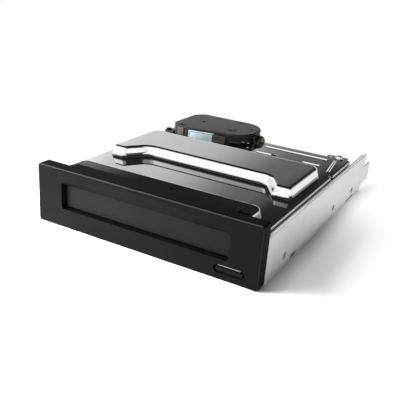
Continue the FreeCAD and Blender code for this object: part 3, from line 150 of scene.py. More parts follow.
# The dark plate beside the label, and the strip under it
PLATE_START = 0.6 * MM
PLATE_LENGTH = 7.4 * MM
PLATE_RISE = 0.3 * MM
PLATE_HEIGHT = 3.8 * MM
PLATE_PROUD = 0.12 * MM
STRIP = 0.7 * MM
STRIP_STEP = 0.3 * MM

# The cover's shelf and the collar at the motor
SHELF_GAP = 0.4 * MM
SHELF_REACH = 8.2 * MM
SHELF_THICK = 0.6 * MM
SHELF_END = 3.4 * MM
COLLAR = 0.6 * MM
COLLAR_REACH = 1.6 * MM
COLLAR_COVER = 4.0 * MM

# The cover's rivet
SCREW_HEAD = 1.1 * MM
RIVET_SIDE = 2.0 * MM
RIVET_R = 0.8 * MM
RIVET_TALL = 0.4 * MM

# The housing's parting line, ribs, panel and slot
SEAM_PROUD = 0.06 * MM
SEAM_HALF = 0.12 * MM
RIB_START = 0.6 * MM
RIB_REACH = 2.0 * MM
RIB_DROPS = (2.6 * MM, 5.6 * MM)
RIB_HEIGHT = 0.6 * MM
RIB_PROUD = 0.3 * MM
PANEL_START = 5.2 * MM
PANEL_WIDTH = 3.4 * MM
PANEL_PROUD = 0.15 * MM
PANEL_RISE = 0.7 * MM
PANEL_HEIGHT = 8.4 * MM
SLOT_WIDTH = 0.8 * MM

# The motor's bushing and tabs
BUSHING_R = 0.9 * MM
BUSHING = 0.7 * MM
TAB_SPREAD = 2.9 * MM
TAB_HALF = 0.5 * MM
TAB_TALL = 0.9 * MM
TAB_THICK = 0.3 * MM

# Chip legs and small parts of the board
LEG_PITCH = 0.8 * MM
LEG_WIDTH = 0.35 * MM
LEG_LENGTH = 0.9 * MM
LEG_THICK = 0.15 * MM
SMALL_COUNT = 9
SMALL_PITCH = 3.2 * MM
SMALL_LONG = 1.6 * MM
SMALL_ROW = 1.1 * MM
SMALL_ROWS = (("resistors", "chip_black", -1, 0.4 * MM), ("ceramics", "ceramic_tan", 1, 0.72 * MM))

# The rear connector's contacts
TONGUE_HALF = 0.6 * MM
DATA_START = 3.4 * MM
DATA_COUNT = 7
POWER_START = 17.6 * MM
POWER_COUNT = 15
CONTACT_PITCH = 1.27 * MM
CONTACT_WIDTH = 0.8 * MM
CONTACT_REACH = 5.6 * MM
CONTACT_END = 0.4 * MM
CONTACT_PROUD = 0.06 * MM

# The capacitors' sleeves
SLEEVE = 0.08 * MM
SLEEVE_SHARE = 0.86

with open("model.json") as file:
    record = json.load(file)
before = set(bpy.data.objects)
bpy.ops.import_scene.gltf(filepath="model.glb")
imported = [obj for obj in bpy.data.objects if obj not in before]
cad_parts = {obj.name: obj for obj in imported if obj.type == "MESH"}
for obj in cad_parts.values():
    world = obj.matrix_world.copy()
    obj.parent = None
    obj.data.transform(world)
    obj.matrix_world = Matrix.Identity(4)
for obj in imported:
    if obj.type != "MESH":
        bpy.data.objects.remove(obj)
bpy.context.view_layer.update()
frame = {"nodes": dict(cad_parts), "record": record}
nodes = frame["nodes"]


# Materials


def maths(tree, operation, *values):
    """One step of arithmetic on outputs or plain numbers."""
    made = tree.nodes.new("ShaderNodeMath")
    made.operation = operation
    for socket, value in zip(made.inputs, values):
        if isinstance(value, float):
            socket.default_value = value
        else:
            tree.links.new(value, socket)
    return made.outputs["Value"]


def spread(tree, value, low, high, to_low, to_high):
    """Maps a value from one span to another, and holds it at the ends."""
    made = tree.nodes.new("ShaderNodeMapRange")
    for name, number in (("From Min", low), ("From Max", high), ("To Min", to_low), ("To Max", to_high)):
        made.inputs[name].default_value = number
    tree.links.new(value, made.inputs["Value"])
    return made.outputs["Result"]


def parts_of(tree, vector):
    """The X, Y and Z outputs of a vector."""
    split = tree.nodes.new("ShaderNodeSeparateXYZ")
    tree.links.new(vector, split.inputs["Vector"])
    return split.outputs


def geometry(tree, name):
    """One output of the surface's geometry, such as its normal."""
    return tree.nodes.new("ShaderNodeNewGeometry").outputs[name]


def scale_colour(tree, surface, factor):
    """Multiplies what feeds the base colour by a factor."""
    scaled = tree.nodes.new("ShaderNodeVectorMath")
    scaled.operation = "SCALE"
    tree.links.new(surface.inputs["Base Color"].links[0].from_socket, scaled.inputs[0])
    tree.links.new(factor, scaled.inputs["Scale"])
    tree.links.new(scaled.outputs["Vector"], surface.inputs["Base Color"])


class Shader:
    """A Principled material and the node links that give it its surface."""

    def __init__(self, name):
        self.material = bpy.data.materials.new(name)
        self.material.use_nodes = True
        self.tree = self.material.node_tree
        self.surface = self.tree.nodes["Principled BSDF"]
        self.place = self.tree.nodes.new("ShaderNodeTexCoord").outputs["Object"]

    def node(self, kind, **values):
        made = self.tree.nodes.new(kind)
        for key, value in values.items():
            made.inputs[key.replace("_", " ")].default_value = value
        return made

    def link(self, output, socket):
        self.tree.links.new(output, socket)

    def stretched(self, scale):
        mapping = self.node("ShaderNodeMapping", Scale=scale)
        self.link(self.place, mapping.inputs["Vector"])
        return mapping.outputs["Vector"]

    def noise(self, scale, detail=3.0, stretch=(1, 1, 1)):
        made = self.node("ShaderNodeTexNoise", Scale=scale, Detail=detail)
        self.link(self.stretched(stretch), made.inputs["Vector"])
        return made.outputs["Fac"]

    def ramp(self, value, low, high, start=0.3, end=0.7):
        made = self.tree.nodes.new("ShaderNodeValToRGB")
        made.color_ramp.elements[0].position = start
        made.color_ramp.elements[1].position = end
        made.color_ramp.elements[0].color = (*low, 1)
        made.color_ramp.elements[1].color = (*high, 1)
        self.link(value, made.inputs["Fac"])
        return made.outputs["Color"]

    def between(self, value, low, high):
        made = self.node("ShaderNodeMapRange", To_Min=low, To_Max=high)
        self.link(value, made.inputs["Value"])
        return made.outputs["Result"]

    def colour(self, value, base, contrast, start=0.3, end=0.7):
        low = [c * (1 - contrast) for c in base]
        high = [min(c * (1 + contrast), 1) for c in base]
        self.link(self.ramp(value, low, high, start, end), self.surface.inputs["Base Color"])

    def roughness(self, value, low, high):
        self.link(self.between(value, low, high), self.surface.inputs["Roughness"])

    def bump(self, value, distance, strength=0.5):
        made = self.node("ShaderNodeBump", Distance=distance, Strength=strength)
        self.link(value, made.inputs["Height"])
        self.link(made.outputs["Normal"], self.surface.inputs["Normal"])

    def set(self, **values):
        for key, value in values.items():
            self.surface.inputs[key.replace("_", " ")].default_value = value


def moulded(name, base, rough=0.45, grain=1800.0, depth=0.00002, gloss=0.5):
    """Injection-moulded plastic with a fine spark-eroded grain."""
    shader = Shader(name)
    cloudy = shader.noise(60.0)
    fine = shader.noise(grain, detail=2.0)
    shader.colour(cloudy, base, contrast=0.08)
    shader.roughness(fine, rough - 0.06, rough + 0.08)
    shader.bump(fine, depth)
    shader.set(Specular_IOR_Level=gloss)
    return shader.material


def darker_top(material):
    """Paints shade on the upward faces and a painted highlight on the rounded edges of a moulded front."""
    tree = material.node_tree
    facing = parts_of(tree, geometry(tree, "Normal"))
    spot = parts_of(tree, geometry(tree, "Position"))
    # Painted shade: upward faces near the top keep only a share of their colour
    on_top = maths(tree, "GREATER_THAN", spot["Z"], TOP_SHADE_FROM)
    loss = maths(tree, "MULTIPLY", spread(tree, facing["Z"], *TOP_SLOPES, 0.0, 1 - TOP_SHADE), on_top)
    shade = maths(tree, "SUBTRACT", 1.0, loss)
    # Painted highlight: rounded edges over the top and at the ends are made brighter
    over_top = maths(tree, "MULTIPLY", facing["Y"], facing["Z"])
    round_end = maths(tree, "MULTIPLY", facing["Y"], facing["X"])
    edge_highlight = maths(tree, "MULTIPLY", maths(tree, "MINIMUM", over_top, round_end), -1.0)
    shade = maths(tree, "MULTIPLY", shade, spread(tree, edge_highlight, *EDGE_SLOPES, 1.0, EDGE_SHINE))
    scale_colour(tree, tree.nodes["Principled BSDF"], shade)
    return material


def painted_front_light(material):
    """Paints light on the faces that look forward by lifting their tone."""
    tree = material.node_tree
    facing = parts_of(tree, geometry(tree, "Normal"))
    # Painted light: faces that look forward get a lighter colour
    lift = spread(tree, facing["Y"], *FRONT_SLOPES, FRONT_PAINTED_LIGHT, 1.0)
    scale_colour(tree, tree.nodes["Principled BSDF"], lift)
    return material


def sheet_metal(name, base, rough, stretch=(1, 1, 1), grain=900.0, contrast=0.06, depth=0.000005):
    """Rolled or brushed metal: the grain is drawn out along one direction."""
    shader = Shader(name)
    lines = shader.noise(grain, detail=4.0, stretch=stretch)
    shader.colour(lines, base, contrast)
    shader.roughness(lines, max(rough - 0.06, 0.02), rough + 0.06)
    shader.bump(lines, depth, strength=0.3)
    shader.set(Metallic=1.0)
    return shader.material


def polished(name, base, rough, wave=0.00012, swell=28.0, grain=700.0):
    """Polished sheet with the slight waviness of pressed metal."""
    shader = Shader(name)
    slow = shader.noise(swell, detail=1.0)
    fine = shader.noise(grain, detail=3.0, stretch=(1, 0.2, 1))
    shader.colour(fine, base, contrast=0.03)
    shader.roughness(fine, rough * 0.6, rough * 1.6)
    shader.bump(slow, wave, strength=0.25)
    shader.set(Metallic=1.0)
    return shader.material


def pressed_cover(name, base, rough, grain=700.0):
    """Polished pressed sheet with painted shade in its hollow corners, a little duller on its walls."""
    shader = Shader(name)
    fine = shader.noise(grain, detail=3.0, stretch=(1, 0.2, 1))
    shade = shader.ramp(fine, [c * (1 - COVER_GRAIN) for c in base], [c * (1 + COVER_GRAIN) for c in base])
    # Painted shade: the colour darkens in hollow corners, which ambient occlusion finds
    corners = shader.node("ShaderNodeAmbientOcclusion", Distance=HOLLOW_REACH)
    corners.only_local = True
    corners.samples = HOLLOW_SAMPLES
    corner_shade = shader.ramp(corners.outputs["AO"], HOLLOW_SHADE_TONE, (1, 1, 1), *HOLLOW_SPAN)
    mixed = shader.tree.nodes.new("ShaderNodeMix")
    mixed.data_type = "RGBA"
    mixed.blend_type = "MULTIPLY"
    mixed.inputs["Factor"].default_value = 1.0
    shader.link(shade, mixed.inputs[6])
    shader.link(corner_shade, mixed.inputs[7])
    shader.link(mixed.outputs[2], shader.surface.inputs["Base Color"])
    upright = parts_of(shader.tree, geometry(shader.tree, "Normal"))
    dull = spread(shader.tree, upright["Z"], WALL_SLOPE, FLAT_SLOPE, WALL_ROUGH, rough)
    dulled = maths(shader.tree, "MULTIPLY", dull, shader.between(fine, *COVER_DULLING))
    shader.link(dulled, shader.surface.inputs["Roughness"])
    shader.link(cover_normal(shader), shader.surface.inputs["Normal"])
    shader.set(Metallic=1.0)
    return shader.material


def foot_lift(tree, spot, slope, ahead, front, plate):
    """How far the normal turns up on the steep foot of the pan's walls, behind the rib."""
    share = spread(tree, spot["Z"], plate + FOOT_HEIGHT, plate, 0.0, 1.0)
    foot = maths(tree, "MULTIPLY", maths(tree, "POWER", share, FOOT_CURVE), FOOT_TURN)
    steep = maths(tree, "LESS_THAN", slope["Z"], FOOT_STEEP)
    near_pan = maths(tree, "LESS_THAN", spot["Y"], front + PAN_REAR_FROM_FRONT)
    raised = maths(tree, "GREATER_THAN", spot["Z"], plate + HAIR)
    chosen = maths(tree, "MULTIPLY", maths(tree, "SUBTRACT", near_pan, ahead), raised)
    return maths(tree, "MULTIPLY", maths(tree, "MULTIPLY", foot, steep), chosen)


def cover_normal(shader):
    """The surface's own normal, leaning forward on the rib's top and turning up at the pan's foot."""
    tree = shader.tree
    low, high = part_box("top_cover")
    spot = parts_of(tree, shader.place)
    normal = geometry(tree, "Normal")
    ahead = maths(tree, "LESS_THAN", spot["Y"], low[1] + RIB_REAR_FROM_FRONT)
    above = maths(tree, "GREATER_THAN", spot["Z"], high[2] - RIB_TOP_DROP)
    lean = maths(tree, "MULTIPLY", maths(tree, "MULTIPLY", ahead, above), -RIB_LEAN)
    push = tree.nodes.new("ShaderNodeCombineXYZ")
    tree.links.new(lean, push.inputs["Y"])
    lift = foot_lift(tree, spot, parts_of(tree, normal), ahead, low[1], high[2] - PAN_HEIGHT)
    tree.links.new(lift, push.inputs["Z"])
    added = tree.nodes.new("ShaderNodeVectorMath")
    tree.links.new(normal, added.inputs[0])
    tree.links.new(push.outputs["Vector"], added.inputs[1])
    straight = tree.nodes.new("ShaderNodeVectorMath")
    straight.operation = "NORMALIZE"
    tree.links.new(added.outputs["Vector"], straight.inputs[0])
    return straight.outputs["Vector"]


def galvanised(name, base, crystals=260.0, grain=1400.0, rough=(0.40, 0.47)):
    """Zinc-coated steel with faint crystals."""
    shader = Shader(name)
    cells = shader.node("ShaderNodeTexVoronoi", Scale=crystals)
    shader.link(shader.place, cells.inputs["Vector"])
    shader.colour(cells.outputs["Color"], base, contrast=0.02, start=0.1, end=0.9)
    fine = shader.noise(grain)
    shader.roughness(fine, *rough)
    shader.bump(fine, distance=0.000006, strength=0.3)
    shader.set(Metallic=0.85)
    return shader.material


def turned_metal(name, base, rough=0.25):
    """Lathe-turned metal: fine rings across the height."""
    return sheet_metal(name, base, rough, stretch=(0.05, 0.05, 1), grain=2600.0)


def coil_wire(name, base, turns=900.0, rough=(0.25, 0.45)):
    """Enamelled wire, turn beside turn."""
    shader = Shader(name)
    waves = shader.node("ShaderNodeTexWave", Scale=turns, Distortion=1.5)
    shader.link(shader.place, waves.inputs["Vector"])
    shader.colour(waves.outputs["Fac"], base, contrast=0.3, start=0.2, end=0.8)
    shader.roughness(waves.outputs["Fac"], *rough)
    shader.bump(waves.outputs["Fac"], distance=0.00005)
    shader.set(Metallic=0.8)
    return shader.material


def solder_mask(name, base, track, pattern=110.0, rough=(0.22, 0.34)):
    """Circuit board: tracks show as a lighter pattern under the mask."""
    shader = Shader(name)
    bricks = shader.node("ShaderNodeTexBrick", Scale=pattern)
    shader.link(shader.place, bricks.inputs["Vector"])
    bricks.inputs["Color1"].default_value = (*base, 1)
    bricks.inputs["Color2"].default_value = (*[c * 0.8 for c in base], 1)
    bricks.inputs["Mortar"].default_value = (*track, 1)
    bricks.inputs["Mortar Size"].default_value = 0.018
    shader.link(bricks.outputs["Color"], shader.surface.inputs["Base Color"])
    shader.roughness(shader.noise(400.0), *rough)
    return shader.material


def film(name, base, streak=500.0, rough=(0.2, 0.35)):
    """Thin plastic film with faint streaks."""
    shader = Shader(name)
    streaks = shader.noise(streak, stretch=(1, 1, 0.1))
    shader.colour(streaks, base, contrast=0.2)
    shader.roughness(streaks, *rough)
    return shader.material


def coated_paper(name, base, fibre=1500.0, rough=(0.3, 0.42)):
    """Coated paper or paint with a very fine grain."""
    shader = Shader(name)
    fibres = shader.noise(fibre, detail=5.0)
    shader.colour(fibres, base, contrast=0.03)
    shader.roughness(fibres, *rough)
    shader.bump(fibres, distance=0.000004, strength=0.3)
    return shader.material


STEEL = (0.56, 0.57, 0.58)

materials = {
    # Painted shade on the bezel's top and a painted highlight on its rounded edges
    "bezel_plastic": darker_top(moulded("bezel_plastic", (0.0031, 0.0031, 0.0032), rough=0.46, gloss=0.03)),
    "door_plastic": moulded("door_plastic", (0.0045, 0.0045, 0.0046), rough=0.40, gloss=0.06),
    "button_grey": sheet_metal("button_grey", (0.012, 0.012, 0.0125), 0.28),
    "cover_polished": pressed_cover("cover_polished", (0.82, 0.82, 0.82), 0.05),
    "tray_steel": galvanised("tray_steel", (0.80, 0.80, 0.805)),
    "frame_steel": sheet_metal("frame_steel", (0.55, 0.55, 0.57), 0.3, stretch=(1, 0.1, 1)),
    "post_steel": turned_metal("post_steel", STEEL),
    "pin_steel": turned_metal("pin_steel", (0.62, 0.62, 0.63), 0.15),
    "spring_steel": sheet_metal("spring_steel", (0.58, 0.58, 0.60), 0.22),
    "screw_steel": turned_metal("screw_steel", (0.66, 0.66, 0.68), 0.2),
    "screw_dark": turned_metal("screw_dark", (0.012, 0.012, 0.013), 0.45),
    # Painted light on the housing's faces that look forward
    "housing_black": painted_front_light(moulded("housing_black", (0.0050, 0.0050, 0.0052), rough=0.34,
                                           gloss=0.27)),
    "label_paper": coated_paper("label_paper", (0.375, 0.455, 0.485)),
    "motor_steel": polished("motor_steel", (0.045, 0.028, 0.026), 0.3),
    "motor_cap": moulded("motor_cap", (0.03, 0.012, 0.011), rough=0.4),
    "lead_red": moulded("lead_red", (0.20, 0.03, 0.02), rough=0.45, grain=2500.0),
    "guide_plastic": moulded("guide_plastic", (0.06, 0.06, 0.065), rough=0.5),
    "carriage_plastic": moulded("carriage_plastic", (0.60, 0.57, 0.50), rough=0.4),
    "gear_plastic": moulded("gear_plastic", (0.68, 0.66, 0.60), rough=0.35),
    "worm_brass": sheet_metal("worm_brass", (0.74, 0.56, 0.25), 0.22),
    "arm_aluminium": sheet_metal("arm_aluminium", (0.72, 0.72, 0.73), 0.3),
    "slider_ceramic": moulded("slider_ceramic", (0.05, 0.05, 0.06), rough=0.2),
    "coil_copper": coil_wire("coil_copper", (0.62, 0.28, 0.12)),
    "magnet_nickel": polished("magnet_nickel", (0.52, 0.51, 0.49), 0.15),
    "stop_rubber": moulded("stop_rubber", (0.03, 0.03, 0.03), rough=0.7),
    "flex_amber": film("flex_amber", (0.55, 0.26, 0.05)),
    "switch_plastic": moulded("switch_plastic", (0.08, 0.08, 0.08), rough=0.4),
    "contact_gold": sheet_metal("contact_gold", (0.80, 0.60, 0.24), 0.2),
    "board_green": solder_mask("board_green", (0.012, 0.11, 0.045), (0.03, 0.24, 0.10)),
    "chip_black": moulded("chip_black", (0.02, 0.02, 0.02), rough=0.5),
    "socket_ivory": moulded("socket_ivory", (0.66, 0.62, 0.50), rough=0.4),
    "capacitor_metal": turned_metal("capacitor_metal", (0.66, 0.66, 0.68), 0.25),
    "connector_black": moulded("connector_black", (0.025, 0.025, 0.025), rough=0.4),
}

# Materials that no solid has, each with a slot of the record beside it, which this script does not read
extra_materials = {
    "seam_black": ("housing_black", moulded("seam_black", (0.004, 0.004, 0.004), rough=0.6)),
    "panel_brown": ("housing_black", moulded("panel_brown", (0.040, 0.034, 0.031), rough=0.45)),
    "panel_dark": ("housing_black", moulded("panel_dark", (0.030, 0.025, 0.023), rough=0.35, gloss=0.5)),
    # Painted highlight along the eject button's top edge
    "button_highlight_grey": ("button_grey", sheet_metal("button_highlight_grey", (0.22, 0.22, 0.225), 0.3)),
    "rib_black": ("housing_black", moulded("rib_black", (0.02, 0.02, 0.021), rough=0.25, gloss=1.0)),
    "strip_grey": ("housing_black", moulded("strip_grey", (0.16, 0.15, 0.145), rough=0.4)),
    "border_grey": ("label_paper", coated_paper("border_grey", (0.10, 0.13, 0.15))),
    # Pale colour of the wall lips: a painted highlight
    "lip_highlight": ("tray_steel", coated_paper("lip_highlight", (0.62, 0.62, 0.62))),
    "solder_tin": ("pin_steel", sheet_metal("solder_tin", (0.70, 0.70, 0.71), 0.3)),
    "ceramic_tan": ("socket_ivory", moulded("ceramic_tan", (0.42, 0.30, 0.18), rough=0.4)),
    "sleeve_black": ("chip_black", film("sleeve_black", (0.02, 0.02, 0.03))),
}
for extra_name, (_, extra_material) in extra_materials.items():
    materials[extra_name] = extra_material


def paint_nodes():
    """Gives each solid the material of its slot."""
    for part in frame["record"]["subparts"]:
        obj = nodes[part["node"]]
        obj.data.materials.clear()
        obj.data.materials.append(materials[part["material_slot"]])


paint_nodes()


# Helpers for the small pieces


def corners_of(node):
    low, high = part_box(node)
    return Vector(low), Vector(high)


def add_mesh(name, body, material, verts, faces, bevel=0.0):
    mesh = bpy.data.meshes.new(name)
    mesh.from_pydata([tuple(v) for v in verts], [], faces)
    mesh.materials.append(materials[material])
    obj = bpy.data.objects.new(name, mesh)
    bpy.context.scene.collection.objects.link(obj)
    if bevel:
        edge = obj.modifiers.new("edge", "BEVEL")
        edge.width = bevel
        edge.segments = 2
    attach(obj, body)
    return obj


def add_boxes(name, body, material, boxes, bevel=0.0):
    """One mesh of many blocks, each given by its lowest and highest corner."""
    verts = []
    faces = []
    for low, high in boxes:
        first = len(verts)
        for i in range(8):
            verts.append([high[axis] if i >> axis & 1 else low[axis] for axis in range(3)])
        for face in ((0, 2, 3, 1), (4, 5, 7, 6), (0, 1, 5, 4), (2, 6, 7, 3), (0, 4, 6, 2), (1, 3, 7, 5)):
            faces.append([first + i for i in face])
    return add_mesh(name, body, material, verts, faces, bevel)


def add_drums(name, body, material, drums, axis, bevel=0.0, sides=32):
    """One mesh of many short cylinders: centre of the base, radius and length along the axis."""
    verts = []
    faces = []
    across = [Vector([float(i == (axis + k) % 3) for i in range(3)]) for k in (1, 2)]
    along = Vector([float(i == axis) for i in range(3)])
    for centre, radius, length in drums:
        first = len(verts)
        for lift in (0.0, length):
            for i in range(sides):
                angle = 2 * math.pi * i / sides
                rim = across[0] * math.cos(angle) + across[1] * math.sin(angle)
                verts.append(Vector(centre) + rim * radius + along * lift)
        faces.append([first + i for i in reversed(range(sides))])
        faces.append([first + sides + i for i in range(sides)])
        for i in range(sides):
            j = (i + 1) % sides
            faces.append([first + i, first + j, first + sides + j, first + sides + i])
    return add_mesh(name, body, material, verts, faces, bevel)


def solids_of(node):
    """Lowest and highest corner of each separate solid in a node."""
    mesh = nodes[node].data
    place = {}
    owner = []
    for vert in mesh.vertices:
        key = tuple(round(c, 7) for c in vert.co)
        owner.append(place.setdefault(key, len(place)))
    parent = list(range(len(place)))

    def root(i):
        while parent[i] != i:
            parent[i] = parent[parent[i]]
            i = parent[i]
        return i

    for edge in mesh.edges:
        a, b = (root(owner[i]) for i in edge.vertices)
        parent[a] = b
    groups = {}
    for key, i in place.items():
        groups.setdefault(root(i), []).append(key)
    found = []
    for points in groups.values():
        low = Vector([min(point[axis] for point in points) for axis in range(3)])
        high = Vector([max(point[axis] for point in points) for axis in range(3)])
        found.append((low, high))
    return sorted(found, key=lambda pair: tuple(pair[0]))


def outline_of(node, low, high):
    """Outline, seen from above, of the points of a node between two heights."""
    points = sorted({(round(v.co.x, 6), round(v.co.y, 6)) for v in nodes[node].data.vertices
                     if low <= v.co.z <= high})

    def half(ordered):
        chain = []
        for point in ordered:
            while len(chain) > 1:
                (ax, ay), (bx, by) = chain[-2:]
                if (bx - ax) * (point[1] - ay) - (by - ay) * (point[0] - ax) > 0:
                    break
                chain.pop()
            chain.append(point)
        return chain[:-1]

    return [Vector((x, y, 0)) for x, y in half(points) + half(points[::-1])]


def walk_round(node, z):
    """Outline of a node at one height, from its foremost point on."""
    outline = outline_of(node, z - HAIR, z + HAIR)
    start = min(range(len(outline)), key=lambda i: outline[i].y)
    return outline[start:] + outline[:start]


def add_rail(name, body, material, line, proud, low, high, bevel=0.0):
    """A strip that follows a line on a wall and stands proud of it."""
    verts = []
    for i, point in enumerate(line):
        before = line[max(i - 1, 0)]
        after = line[min(i + 1, len(line) - 1)]
        along = (after - before).normalized()
        outward = along.cross(Vector((0, 0, 1)))
        for reach, z in ((-proud, low), (proud, low), (proud, high), (-proud, high)):
            verts.append(Vector((point.x, point.y, z)) + outward * reach)
    faces = [[3, 2, 1, 0]]
    for i in range(len(line) - 1):
        for k in range(4):
            n = (k + 1) % 4
            faces.append([4 * i + k, 4 * i + n, 4 * i + 4 + n, 4 * i + 4 + k])
    last = 4 * (len(line) - 1)
    faces.append([last, last + 1, last + 2, last + 3])
    return add_mesh(name, body, material, verts, faces, bevel)


def add_wedges(name, body, material, wedges):
    """Long ridges along Y: two x at the foot, two at the top, the two heights and the two ends."""
    verts = []
    faces = []
    for foot, top, z0, z1, y0, y1 in wedges:
        first = len(verts)
        for y in (y0, y1):
            verts += [(foot[0], y, z0), (foot[1], y, z0), (top[1], y, z1), (top[0], y, z1)]
        faces += [[first + i for i in face] for face in
                  ((0, 1, 2, 3), (7, 6, 5, 4), (4, 5, 1, 0), (5, 6, 2, 1), (6, 7, 3, 2), (7, 4, 0, 3))]
    return add_mesh(name, body, material, verts, faces)


# Small pieces that the solids leave out


def housing_seam():
    """Parting line of the gearbox, and the ribs of its right end."""
    low, high = corners_of("gearbox_lid")
    seam_z = corners_of("gearbox_base")[1].z
    walk = walk_round("gearbox_base", seam_z)
    add_rail("housing_seam", "chassis", "seam_black", walk, SEAM_PROUD,
             seam_z - SEAM_HALF, seam_z + SEAM_HALF)
    left = corners_of("gearbox_label")[1].x + RIB_START
    rear = (low.y + high.y) / 2 + RIB_REACH
    end = [p for p in walk if p.x > left and p.y < rear]
    for i, drop in enumerate(RIB_DROPS):
        add_rail("housing_rib_%d" % i, "chassis", "rib_black", end, RIB_PROUD,
                 seam_z - drop - RIB_HEIGHT, seam_z - drop, RIB_PROUD / 3)


def side_panel():
    """Panel at the left of the gearbox's front, with a slot beside it."""
    low = corners_of("gearbox_lid")[0]
    top = corners_of("gearbox_base")[1].z + PANEL_RISE
    left = low.x + PANEL_START
    slot = left + PANEL_WIDTH
    add_boxes("housing_panel", "chassis", "panel_brown",
              [((left, low.y - PANEL_PROUD, top - PANEL_HEIGHT), (slot, low.y + PANEL_PROUD, top))],
              PANEL_PROUD / 3)
    add_boxes("housing_slot", "chassis", "seam_black",
              [((slot, low.y - PANEL_PROUD / 2, top - PANEL_HEIGHT),
                (slot + SLOT_WIDTH, low.y + PANEL_PROUD, top))])


def label_frame():
    """Border of the bare label: a thin dark line inside its edge."""
    low, high = corners_of("gearbox_label")
    points = [Vector((v.co.x, v.co.y, 0)) for v in nodes["gearbox_label"].data.vertices]
    left = min(points, key=lambda p: (round(p.x, 5), p.y))
    outer = [p for p in points if p.y < left.y + (high.y - low.y)]
    end = max(outer, key=lambda p: p.x - 2 * p.y)
    start = min(outer, key=lambda p: p.x + 2 * p.y)
    along = (end - start).normalized()
    start = start + along * BORDER_IN
    end = end - along * BORDER_IN
    top = high.z - BORDER_IN
    foot = low.z + BORDER_IN
    rails = [([start, end], top - BORDER, top), ([start, end], foot, foot + BORDER),
             ([start, start + along * BORDER], foot + BORDER, top - BORDER),
             ([end - along * BORDER, end], foot + BORDER, top - BORDER)]
    for i, (line, z0, z1) in enumerate(rails):
        add_rail("label_border_%d" % i, "chassis", "border_grey", line, BORDER_PROUD, z0, z1)


def end_flange():
    """Foot flange round the housing's right end, with two small screws."""
    low, high = corners_of("gearbox_base")
    left = corners_of("gearbox_label")[1].x + FLANGE_START
    line = [p for p in walk_round("gearbox_base", high.z) if p.x > left and p.y < (low.y + high.y) / 2]
    add_rail("housing_flange", "chassis", "housing_black", line, FLANGE_PROUD,
             FLANGE_LOW, FLANGE_LOW + FLANGE_THICK, FLANGE_THICK / 4)
    middle = line[len(line) // 2]
    seat = FLANGE_LOW + FLANGE_THICK
    drums = [((middle.x + shift, middle.y - FLANGE_PROUD / 2, seat), FLANGE_SCREW_R, FLANGE_SCREW_TALL)
             for shift in (0.0, FLANGE_SCREW_STEP)]
    add_drums("flange_screws", "chassis", "screw_steel", drums, 2, FLANGE_SCREW_TALL / 3)


def front_plate():
    """Dark plate beside the label, with a lighter strip under it."""
    label_low, label_high = corners_of("gearbox_label")
    first, last = walk_round("gearbox_base", label_high.z)[:2]
    along = (last - first).normalized()
    begin = Vector((label_high.x, label_low.y, 0)) + along * PLATE_START
    begin.y = first.y
    line = [begin, begin + along * PLATE_LENGTH]
    top = label_high.z + PLATE_RISE
    add_rail("housing_plate", "chassis", "panel_dark", line, PLATE_PROUD,
             top - PLATE_HEIGHT, top, PLATE_PROUD / 3)
    strip_top = top - PLATE_HEIGHT - STRIP_STEP
    add_rail("housing_plate_strip", "chassis", "strip_grey", line, PLATE_PROUD,
             strip_top - STRIP, strip_top, STRIP / 4)


def cover_top_z():
    """Height of the cover's plate, below the pan."""
    return corners_of("top_cover")[1].z - PAN_HEIGHT


def bead_steps():
    """Steep sides of the pressed beads behind the pan."""
    low, high = corners_of("top_cover")
    shelf = corners_of("gearbox_base")[1].x + SHELF_REACH
    end = high.x - BEAD_SIDE
    long_y = low.y + BEAD_Y
    short_y = low.y + SHORT_BEAD_Y
    spans = [(shelf, end, long_y), (shelf, shelf + SHORT_BEAD, short_y), (end - SHORT_BEAD, end, short_y)]
    section = ((-BEAD_FOOT, 0.0), (-BEAD_TOP, BEAD_TALL), (BEAD_TOP, BEAD_TALL), (BEAD_FOOT, 0.0))
    verts = []
    faces = []
    for x0, x1, y in spans:
        first = len(verts)
        for x in (x0, x1):
            for across, lift in section:
                verts.append((x, y + across, cover_top_z() + lift))
        faces += [[first + i for i in face] for face in
                  ((0, 1, 2, 3), (7, 6, 5, 4), (0, 4, 5, 1), (1, 5, 6, 2), (2, 6, 7, 3), (3, 7, 4, 0))]
    add_mesh("bead_steps", "chassis", "cover_polished", verts, faces, BEAD_EDGE)


def lip(outer, side, sheet, z, y0, y1):
    """One rolled upper edge of a wall, whose outer face leans inward."""
    inner = outer - side * sheet
    return (inner, outer), (inner, outer - side * LIP_LEAN), z, z + LIP_TALL, y0, y1


def wall_lips():
    """Rolled upper edges of the side walls and of the inner frame's sides, in a pale colour that paints
    their highlight.
    """
    tray = corners_of("base_tray")[1]
    steel = corners_of("inner_frame")[1]
    cover_low, cover_high = corners_of("top_cover")
    rim = [v.co.y for v in nodes["base_tray"].data.vertices if v.co.z > tray.z - LIP_BAND]
    sides = (-1, 1)
    add_wedges("tray_lips", "chassis", "lip_highlight",
               [lip(side * tray.x, side, TRAY_SHEET, tray.z, min(rim), max(rim)) for side in sides])
    add_wedges("frame_lips", "chassis", "lip_highlight",
               [lip(side * steel.x, side, FRAME_SHEET, steel.z, cover_low.y, cover_high.y - SHELF_END)
                for side in sides])


def cover_shelf():
    """The cover's plate as it runs on to the housing's end, in front of the motor's lower half."""
    box_low, box_high = corners_of("gearbox_base")
    cap_low, cap_high = corners_of("motor_end_cap")
    cover_high = corners_of("top_cover")[1]
    top = cover_high.z - PAN_HEIGHT - HAIR / 2
    right = box_high.x + SHELF_REACH
    boxes = [((box_high.x + SHELF_GAP, box_low.y - SHELF_GAP, top - SHELF_THICK),
              (right, cap_low.y - SHELF_GAP, top)),
             ((cap_high.x + SHELF_GAP, cap_low.y - SHELF_GAP, top - SHELF_THICK),
              (right, cover_high.y - SHELF_END, top))]
    add_boxes("cover_shelf", "chassis", "cover_polished", boxes)


